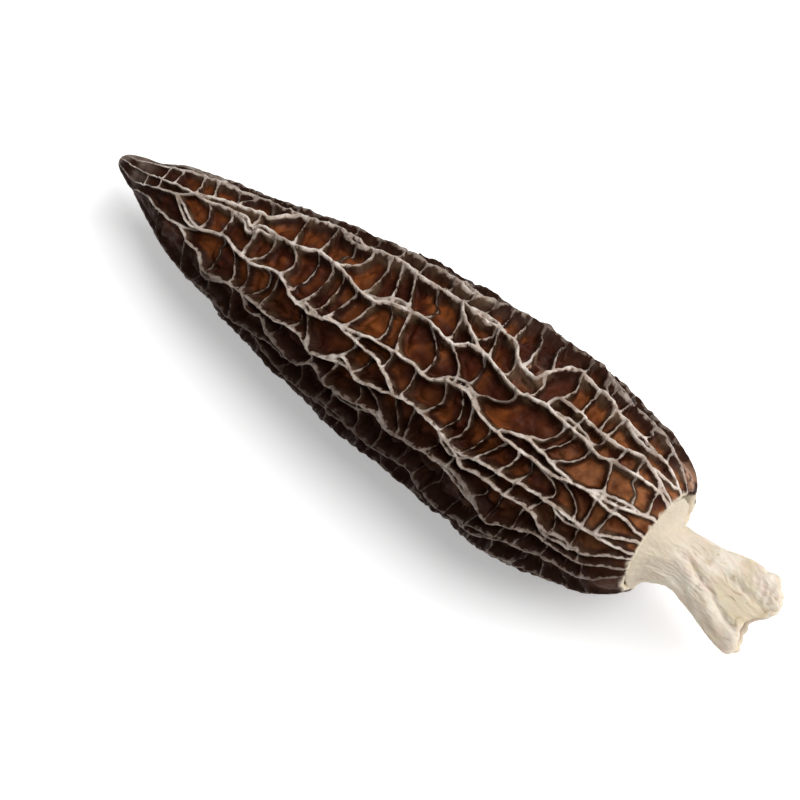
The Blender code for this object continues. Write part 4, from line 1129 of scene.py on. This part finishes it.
class MorelStageSettings(bpy.types.PropertyGroup):
    azimuth: angle_property("Azimuth", "Where the camera stands round the object", 38.9)
    elevation: angle_property("Elevation", "How high the camera looks from", 67.5)
    frame_width: length_property("Picture Width", "Width of what the picture takes in, at the object", 82.0)
    lens: bpy.props.FloatProperty(
        name="Lens", description="Focal length in millimetres", default=180, min=20, subtype="DISTANCE_CAMERA"
    )
    aim_right: length_property("Aim Right", "How far right of the object's middle the camera aims", -3.75, -1)
    aim_up: length_property("Aim Up", "How far above the object's middle the camera aims", -2.2, -1)
    floor_colour: colour_property("Floor", "The plain floor", (0.93, 0.93, 0.93))
    floor_glow: share_property("Floor Glow", "How much light the floor gives off, to soften shadows", 0.34)
    key_power: bpy.props.FloatProperty(
        name="Key Power", description="Power of the soft light", default=4.6, min=0, unit="POWER"
    )
    sky: share_property("Sky", "Strength of the even light all round", 0.3, 3.0)


def patch(along, turn, radius, at, degrees, width):
    """How deep inside a round patch of the skin each place is, from 0 to 1."""
    sideways = (turn - math.radians(degrees) + math.pi) % (2 * math.pi) - math.pi
    return np.exp(-((along - at) ** 2 + (sideways * radius) ** 2) / width**2)


def cap_surface(skin, relief, run, turn, cap):
    """The cap's surface at each place, and the marks that its material reads there."""
    high, outside, dropped, paleness, strong = relief.read(
        run, turn, cap.crest_half_width / MM, cap.wall_width / MM, cap.wall_power
    )
    spots = skin.points(run, turn)
    along = skin.read(skin.along, run)
    rim_run = skin.run_at(RIM_ALONG)
    depth = read_table(PIT_DEPTH, along) * (1 - smooth_step(rim_run, skin.end, run))

    lobe_size, lobe_least, lobe_more = FLOOR_LOBES
    lobes = lobe_least + lobe_more * np.abs(soft_noise(spots, lobe_size, 3.0))
    swell = cap.floor_rise * smooth_step(*PILLOW, strong) * lobes
    jag = cap.jag * sum(soft_noise(spots, size, shift) for size, shift in CREST_JAGS)
    raised = np.maximum(high * (1 + jag), swell)
    bare = 1 - smooth_step(*CREST_SHARE, high)
    uneven = np.abs(sum(share * soft_noise(spots, size, shift) for size, share, shift in UNEVEN))
    uneven = uneven * (UNEVEN_CREST + (1 - UNEVEN_CREST) * bare) * cap.roughness_height / MM
    sunk = depth * (1 - raised) + uneven * skin.inside(run)

    radius = skin.radius_at(run)
    # The raised knob has pale blotches of its own, and a wider pale band that is a painted highlight
    knob_blotch_and_highlight, knob = (patch(along, turn, radius, *place) for place in (RAISED_KNOB, RIM_KNOB))
    jag_size, jag_far = TISSUE_RAGGED
    tissue_from = rim_run - TISSUE_FROM_RIM - jag_far * soft_noise(spots, jag_size, 2.0)
    # Painted light and shade: crests paler on the side turned to the light; on the flanks turned from it,
    # crests dimmer, bands narrower and pits darker
    lit_side = smooth_step(*LIT_SIDE, np.cos(turn - LIT_SIDE_TURN))
    least = read_table(SHADED_FLANK_PALENESS, along)
    marks = {
        "outside": outside - KNOB_HIGHLIGHT_WIDENS * knob_blotch_and_highlight + FLANK_NARROWS * (1 - lit_side),
        "dropped": dropped,
        "paleness": paleness * (least + (1 - least) * lit_side),
        "depth": 1 - raised,
        "shade": np.maximum(1 - smooth_step(*DARK_TIP, along), FLANK_SHADE * (1 - lit_side)),
        "tan": smooth_step(*TAN_BASE, along),
        "tissue": smooth_step(0, TISSUE_FADE, run - tissue_from) * (1 - smooth_step(*KNOB_BARE, knob)),
        "worn": 1 - smooth_step(*WORN_TIP, along),
        "knob_blotch_and_highlight": np.maximum(knob_blotch_and_highlight, KNOB_SCAR * knob),
    }
    marks = {name: np.append(values, [values[0], values[0]]) for name, values in marks.items()}
    return skin.points(run, turn, sunk), marks


class MORELCAP_OT_build(bpy.types.Operator):
    """Build the dark cap with its raised net of ribs, cross ridges and pits"""

    bl_idname = "morel.build_cap"
    bl_label = "Netted Cap"
    bl_options = {"REGISTER", "UNDO"}

    def execute(self, context):
        cap = context.scene.morel_cap
        skin = Skin()
        net = draw_net(skin)
        run, turn, faces = cut_and_join(skin, CapGrid(net))
        points, marks = cap_surface(skin, Relief(net), run, turn, cap)
        points, faces = close_ends(points, faces, run, turn, skin)
        points[:, 2] = np.maximum(points[:, 2], 0)
        piece = mesh_object("netted_cap", points, faces, marks)
        piece.data.materials.append(netted_cap_look(cap))
        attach(piece, "root")
        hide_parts("cap")
        return {"FINISHED"}


def smooth_read(table, at, column=1):
    """A column of the table at each distance, along a smooth curve through its rows."""
    curve = smooth_line([(row[0], row[column]) for row in table], TABLE_STEPS)
    return np.interp(at, curve[:, 0], curve[:, 1])


def stem_folds(around, along):
    """The height of the lengthwise folds, which drift round the stem and swell and fade along it."""
    around = around + STEM_FOLD_DRIFT * np.sin(around + along / 3) + STEM_FOLD_DRIFT / 2 * np.sin(2 * around)
    plain, varies = STEM_FOLD_STRENGTH
    height = 0
    for count, twist, high, swell in STEM_FOLDS:
        strength = plain + varies * math.sin(2 * math.pi * along / swell + count)
        height = height + high * strength * np.sin(count * (around + twist * along))
    return height * float(smooth_step(STEM[0][0], STEM[2][0], along))


def stem_ring(along):
    """The outer wall at one distance along: height above the stem's middle, across, and how deep its creases
    are there. Then the height and across of the hollow's wall."""
    around = np.arange(STEM_AROUND) * 2 * math.pi / STEM_AROUND
    width, thickness = (float(smooth_read(STEM, along, column)) for column in (1, 2))
    least = read_table(FLARE, along) if along < FLARE[-1][0] else 0
    width, thickness = max(width, least), max(thickness, least)
    waist = STEM_WAIST * float(smooth_step(*STEM_WAIST_ALONG, along))
    thickness = thickness * (1 - waist * np.sin(around) ** STEM_WAIST_NARROWNESS)
    dip = FLARE_DIP * np.maximum(np.cos(around), 0) ** FLARE_DIP_NARROWNESS
    folds = stem_folds(around, along) - dip * float(smooth_step(*FLARE_DIP_ALONG, along))
    height = (width + folds) * np.cos(around)
    creased = np.zeros(STEM_AROUND)
    for places, depth, wide in STEM_CREASES:
        begins, ends = places[0][0], places[-1][0]
        deep = depth * float(smooth_step(begins - CREASE_FADE_IN, begins + CREASE_FADE_IN, along))
        deep *= 1 - float(smooth_step(ends, ends + CREASE_FADE_OUT, along))
        off = (height - smooth_read(places, along)) / wide
        creased += deep * np.exp(-(off**2)) * (np.sin(around) > 0)
    across = (thickness + folds) * np.sin(around) - creased
    hollow = ((width - SLIT_WALL) * np.cos(around), (thickness - SLIT_WALL) * np.sin(around))
    return height, across, creased, *hollow


def trough_share(along, height):
    """How far a place lies in the smooth trough between the two main creases."""
    low, high = (smooth_read(places, along) for places, _, _ in STEM_CREASES)
    past, fade = TROUGH_EDGE
    inside = smooth_step(low - past, low + fade, height) * (1 - smooth_step(high - fade, high, height))
    return inside * float(smooth_step(*TROUGH_ALONG, along))


def stem_wrinkle(plain, along, height, trough):
    """How far the wrinkles stand out from one plain ring of the stem."""
    bend, sway = WRINKLE_SWAY
    wrinkle = np.zeros(STEM_AROUND)
    for number, (long, wide, high) in enumerate(STEM_WRINKLES):
        stretched = plain / (long, wide, wide)
        stretched[:, 1] += sway * soft_noise(plain, bend, 20.0 + number)
        stretched[:, 2] += sway * soft_noise(plain, bend, 40.0 + number)
        wrinkle += high * soft_ridges(stretched, 1.0, 3.0 * number, WRINKLE_STEEPNESS)
    size, high = STEM_CRUMPLE
    crumple = smooth_step(*CRUMPLE_ALONG, along) * smooth_step(*CRUMPLE_UP, height)
    wrinkle += crumple * high * soft_ridges(plain, size, 31.0, CRUMPLE_STEEPNESS)
    from_socket = float(smooth_step(STEM[0][0], STEM[0][0] + WRINKLES_FULL, along))
    return wrinkle * (1 - TROUGH_SMOOTHS * trough) * from_socket


def stem_stations():
    """Where the rings stand: along, and how far through the wall, from the socket over the rounded lip at the
    cut end and back down the hollow."""
    first, last = STEM[0][0], STEM[-1][0]
    lip = SLIT_WALL / 2
    outer = np.linspace(first, last - lip, round((last - first) / STEM_RING_STEP) + 1)
    stations = [(along, 0.0) for along in outer]
    for t in np.linspace(0, math.pi, SLIT_LIP_RINGS + 1)[1:]:
        stations.append((last - lip + lip * math.sin(t), (1 - math.cos(t)) / 2))
    stations += [(last - lip - depth, 1.0) for depth in np.linspace(0, SLIT_DEPTH, SLIT_RINGS)[1:]]
    return stations


def stem_grid():
    """Rings of the stem from the socket to the cut end, then back inside: points and marks for each."""
    last = STEM[-1][0]
    end_height, end_across, *_ = stem_ring(last)
    size, far = STEM_END_CRINKLE
    edge = lie_down(last, end_height, end_across)
    reach = read_table(STEM_END, end_height) + far * soft_noise(edge, size, 70.0)
    facing = np.sin(np.arange(STEM_AROUND) * 2 * math.pi / STEM_AROUND) > 0
    rows, marks = [], {"low": [], "trough": [], "collar": [], "inside": []}
    for along, through in stem_stations():
        height, across, creased, hollow_height, hollow_across = stem_ring(along)
        pulled = along + reach * smooth_step(last - STEM_END_RUN, last, along)
        trough = trough_share(along, height) * facing
        narrowed = FLARE[-1][1] / read_table(FLARE, along)
        plain = lie_down(pulled, height * narrowed, across * narrowed)
        wrinkle = stem_wrinkle(plain, along, height, trough)
        out = 1 + wrinkle / np.maximum(np.hypot(height, across), LEAST_WRINKLED)
        height = height * out * (1 - through) + hollow_height * through
        across = across * out * (1 - through) + hollow_across * through
        rows.append(lie_down(pulled, height + smooth_read(STEM, along, 3), across))
        low = np.clip(creased / LOW_CREASE - wrinkle / LOW_WRINKLE, 0, 1)
        marks["low"].append(low * (1 - through))
        marks["trough"].append(trough * (1 - through))
        marks["collar"].append(np.full(STEM_AROUND, (1 - smooth_step(*COLLAR, along)) * (1 - through)))
        inside = through * smooth_step(last, last - INSIDE_FADE, along)
        marks["inside"].append(np.full(STEM_AROUND, inside))
    return rows, {name: np.concatenate(values) for name, values in marks.items()}


def grid_faces(points, rows):
    """Faces over rings that all have the same number of places, with a fan over each end."""
    faces = []
    for row in range(rows - 1):
        for k in range(STEM_AROUND):
            a, b = row * STEM_AROUND + k, row * STEM_AROUND + (k + 1) % STEM_AROUND
            c, d = a + STEM_AROUND, b + STEM_AROUND
            faces += [[a, b, d], [a, d, c]]
    for row in (0, rows - 1):
        ring = list(range(row * STEM_AROUND, (row + 1) * STEM_AROUND))
        points = fan(points, faces, ring, points[ring].mean(axis=0), row == 0)
    return points, faces


class MORELSTEM_OT_build(bpy.types.Operator):
    """Build the cream stem with its folds, creases and cut end"""

    bl_idname = "morel.build_stem"
    bl_label = "Wrinkled Stem"
    bl_options = {"REGISTER", "UNDO"}

    def execute(self, context):
        rows, marks = stem_grid()
        points, faces = grid_faces(np.vstack(rows), len(rows))
        marks = {name: np.append(values, [values[0], values[-1]]) for name, values in marks.items()}
        piece = mesh_object("wrinkled_stem", points, faces, marks)
        piece.data.materials.append(wrinkled_stem_look(context.scene.morel_stem))
        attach(piece, "root")
        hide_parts("stem")
        return {"FINISHED"}


def area_light(name, power, size, place, aim):
    data = bpy.data.lights.new(name, "AREA")
    data.energy = power
    data.shape = "DISK"
    data.size = size
    light = bpy.data.objects.new(name, data)
    light.location = place
    light.rotation_euler = (place - aim).to_track_quat("Z", "Y").to_euler()
    bpy.context.scene.collection.objects.link(light)


class MORELSTAGE_OT_build(bpy.types.Operator):
    """Lay the plain floor, hang the soft light and stand the camera"""

    bl_idname = "morel.build_stage"
    bl_label = "Studio Stage"
    bl_options = {"REGISTER", "UNDO"}

    def execute(self, context):
        stage = context.scene.morel_stage
        turn, lift = stage.azimuth, stage.elevation
        back = Vector((math.sin(turn) * math.cos(lift), -math.cos(turn) * math.cos(lift), math.sin(lift)))
        right = Vector((math.cos(turn), math.sin(turn), 0))
        up = back.cross(right)
        low, high = (Vector(corner) for corner in CAD_BOX)
        middle = (low + high) / 2

        data = bpy.data.cameras.new("camera")
        data.lens = stage.lens
        data.clip_end = FAR_CLIP
        camera = bpy.data.objects.new("camera", data)
        distance = stage.frame_width * stage.lens / data.sensor_width
        camera.location = middle + right * stage.aim_right + up * stage.aim_up + back * distance
        camera.rotation_euler = back.to_track_quat("Z", "Y").to_euler()
        context.scene.collection.objects.link(camera)
        context.scene.camera = camera

        bpy.ops.mesh.primitive_plane_add(size=STAGE_FLOOR_SIDE, location=(0, 0, low.z))
        floor = context.object
        floor.name = "studio_floor"
        look = Look("studio floor", STAGE_FLOOR_ROUGHNESS)
        look.feed(look.shader.inputs["Base Color"], stage.floor_colour)
        look.feed(look.shader.inputs["Emission Color"], stage.floor_colour)
        look.feed(look.shader.inputs["Emission Strength"], stage.floor_glow)
        floor.data.materials.append(look.made)

        towards, beside, above = KEY_PLACE
        place = middle + back * towards + right * beside + up * above
        area_light("key", stage.key_power, KEY_SIZE, place, middle)
        world = bpy.data.worlds.new("studio")
        world.use_nodes = True
        world.node_tree.nodes["Background"].inputs["Color"].default_value = (1, 1, 1, 1)
        world.node_tree.nodes["Background"].inputs["Strength"].default_value = stage.sky
        context.scene.world = world
        context.scene.view_settings.view_transform = "Standard"
        return {"FINISHED"}


class MOREL_PT_panel(bpy.types.Panel):
    """The morel's pieces and their settings"""

    bl_label = "Dried Morel"
    bl_idname = "MOREL_PT_panel"
    bl_space_type = "VIEW_3D"
    bl_region_type = "UI"
    bl_category = "Morel"

    def draw(self, context):
        scene = context.scene
        for operator, settings in (
            (MORELCAP_OT_build, scene.morel_cap),
            (MORELSTEM_OT_build, scene.morel_stem),
            (MORELSTAGE_OT_build, scene.morel_stage),
        ):
            box = self.layout.box()
            box.operator(operator.bl_idname)
            for name in settings.__annotations__:
                box.prop(settings, name)


SETTINGS = {"morel_cap": MorelCapSettings, "morel_stem": MorelStemSettings, "morel_stage": MorelStageSettings}
CLASSES = (*SETTINGS.values(), MORELCAP_OT_build, MORELSTEM_OT_build, MORELSTAGE_OT_build, MOREL_PT_panel)


def register():
    for cls in CLASSES:
        bpy.utils.register_class(cls)
    for name, settings in SETTINGS.items():
        setattr(bpy.types.Scene, name, bpy.props.PointerProperty(type=settings))


def unregister():
    for name in SETTINGS:
        delattr(bpy.types.Scene, name)
    for cls in reversed(CLASSES):
        bpy.utils.unregister_class(cls)


def main():
    register()
    bpy.ops.morel.build_cap()
    bpy.ops.morel.build_stem()
    bpy.ops.morel.build_stage()


if __name__ == "__main__":
    main()
